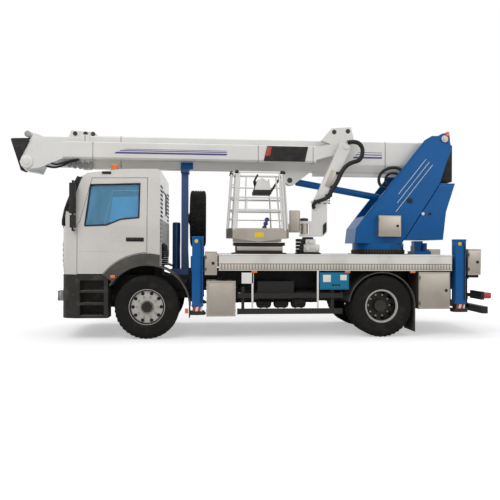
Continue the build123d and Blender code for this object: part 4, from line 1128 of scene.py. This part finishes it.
def build_stage():
    """White floor that keeps the truck's shadow."""
    floor_mesh = bpy.data.meshes.new("floor")
    reach = 40
    corners = [(-reach, -reach, 0), (reach, -reach, 0), (reach, reach, 0), (-reach, reach, 0)]
    floor_mesh.from_pydata(corners, [], [(0, 1, 2, 3)])
    floor = bpy.data.objects.new("floor", floor_mesh)
    bpy.context.collection.objects.link(floor)
    skin = Finish("studio_floor", (0.9, 0.9, 0.9, 1), 0.9)
    skin.shader.inputs["Specular IOR Level"].default_value = 0.1
    skin.colour(skin.tint(((0.3, (0.89, 0.89, 0.89, 1)), (0.7, (0.91, 0.91, 0.91, 1))), skin.noise(0.4, 3)))
    glow = skin.node("ShaderNodeEmission")
    away = skin.node("ShaderNodeVectorMath", operation="LENGTH")
    skin.link(skin.place, away.inputs[0])
    path = skin.node("ShaderNodeLightPath")
    far = skin.spread(away.outputs["Value"], 3.5, 13.0, 0.42, 1.0)
    skin.link(skin.times(far, path.outputs["Is Camera Ray"]), glow.inputs["Strength"])
    both = skin.node("ShaderNodeAddShader")
    skin.link(skin.shader.outputs["BSDF"], both.inputs[0])
    skin.link(glow.outputs["Emission"], both.inputs[1])
    skin.link(both.outputs["Shader"], skin.tree.nodes["Material Output"].inputs["Surface"])
    floor_mesh.materials.append(skin.material)


def build_world():
    """White as seen directly, in metal and through glass, and a soft light elsewhere."""
    world = bpy.data.worlds.new("studio")
    world.use_nodes = True
    bpy.context.scene.world = world
    tree = world.node_tree
    sky = tree.nodes["Background"]
    sky.inputs["Color"].default_value = (1, 1, 1, 1)
    path = tree.nodes.new("ShaderNodeLightPath")
    seen = path.outputs["Is Camera Ray"]
    for ray in ("Is Glossy Ray", "Is Transmission Ray"):
        more = tree.nodes.new("ShaderNodeMath")
        more.operation = "MAXIMUM"
        tree.links.new(seen, more.inputs[0])
        tree.links.new(path.outputs[ray], more.inputs[1])
        seen = more.outputs["Value"]
    level = tree.nodes.new("ShaderNodeMapRange")
    level.inputs["To Min"].default_value = 0.38
    level.inputs["To Max"].default_value = 1.0
    tree.links.new(seen, level.inputs["Value"])
    tree.links.new(level.outputs["Result"], sky.inputs["Strength"])


def lamp(name, place, aim, size, power):
    data = bpy.data.lights.new(name, "AREA")
    data.shape = "RECTANGLE"
    data.size, data.size_y = size
    data.energy = power
    made = bpy.data.objects.new(name, data)
    way = Vector(aim) - Vector(place)
    made.matrix_world = Matrix.Translation(place) @ way.to_track_quat("-Z", "Y").to_matrix().to_4x4()
    bpy.context.collection.objects.link(made)


def build_camera():
    """The photograph's view, its size, focal length and middle in pixels."""
    data = bpy.data.cameras.new("camera")
    picture, focus, centre = 500, 663, 278.7
    data.sensor_width = 36
    data.lens = data.sensor_width * focus / picture
    data.shift_x = (picture / 2 - centre) / picture
    made = bpy.data.objects.new("camera", data)
    aim = Matrix.Rotation(math.radians(-6), 4, "Z") @ Matrix.Rotation(math.radians(90), 4, "X")
    roll = Matrix.Rotation(math.radians(0.25), 4, "Z")
    made.matrix_world = Matrix.Translation(at(1000, -12150, 1460)) @ aim @ roll
    bpy.context.collection.objects.link(made)
    bpy.context.scene.camera = made


build_stage()
build_world()
lamp("key", (-5, -9, 9), (0, 0, 1.5), (8, 6), 480)
lamp("fill", (7, -8, 5), (0, 0, 1.5), (7, 5), 130)
lamp("top", (0, 2, 11), (0, 0, 1), (10, 6), 260)
build_camera()
bpy.context.scene.view_settings.view_transform = "Standard"
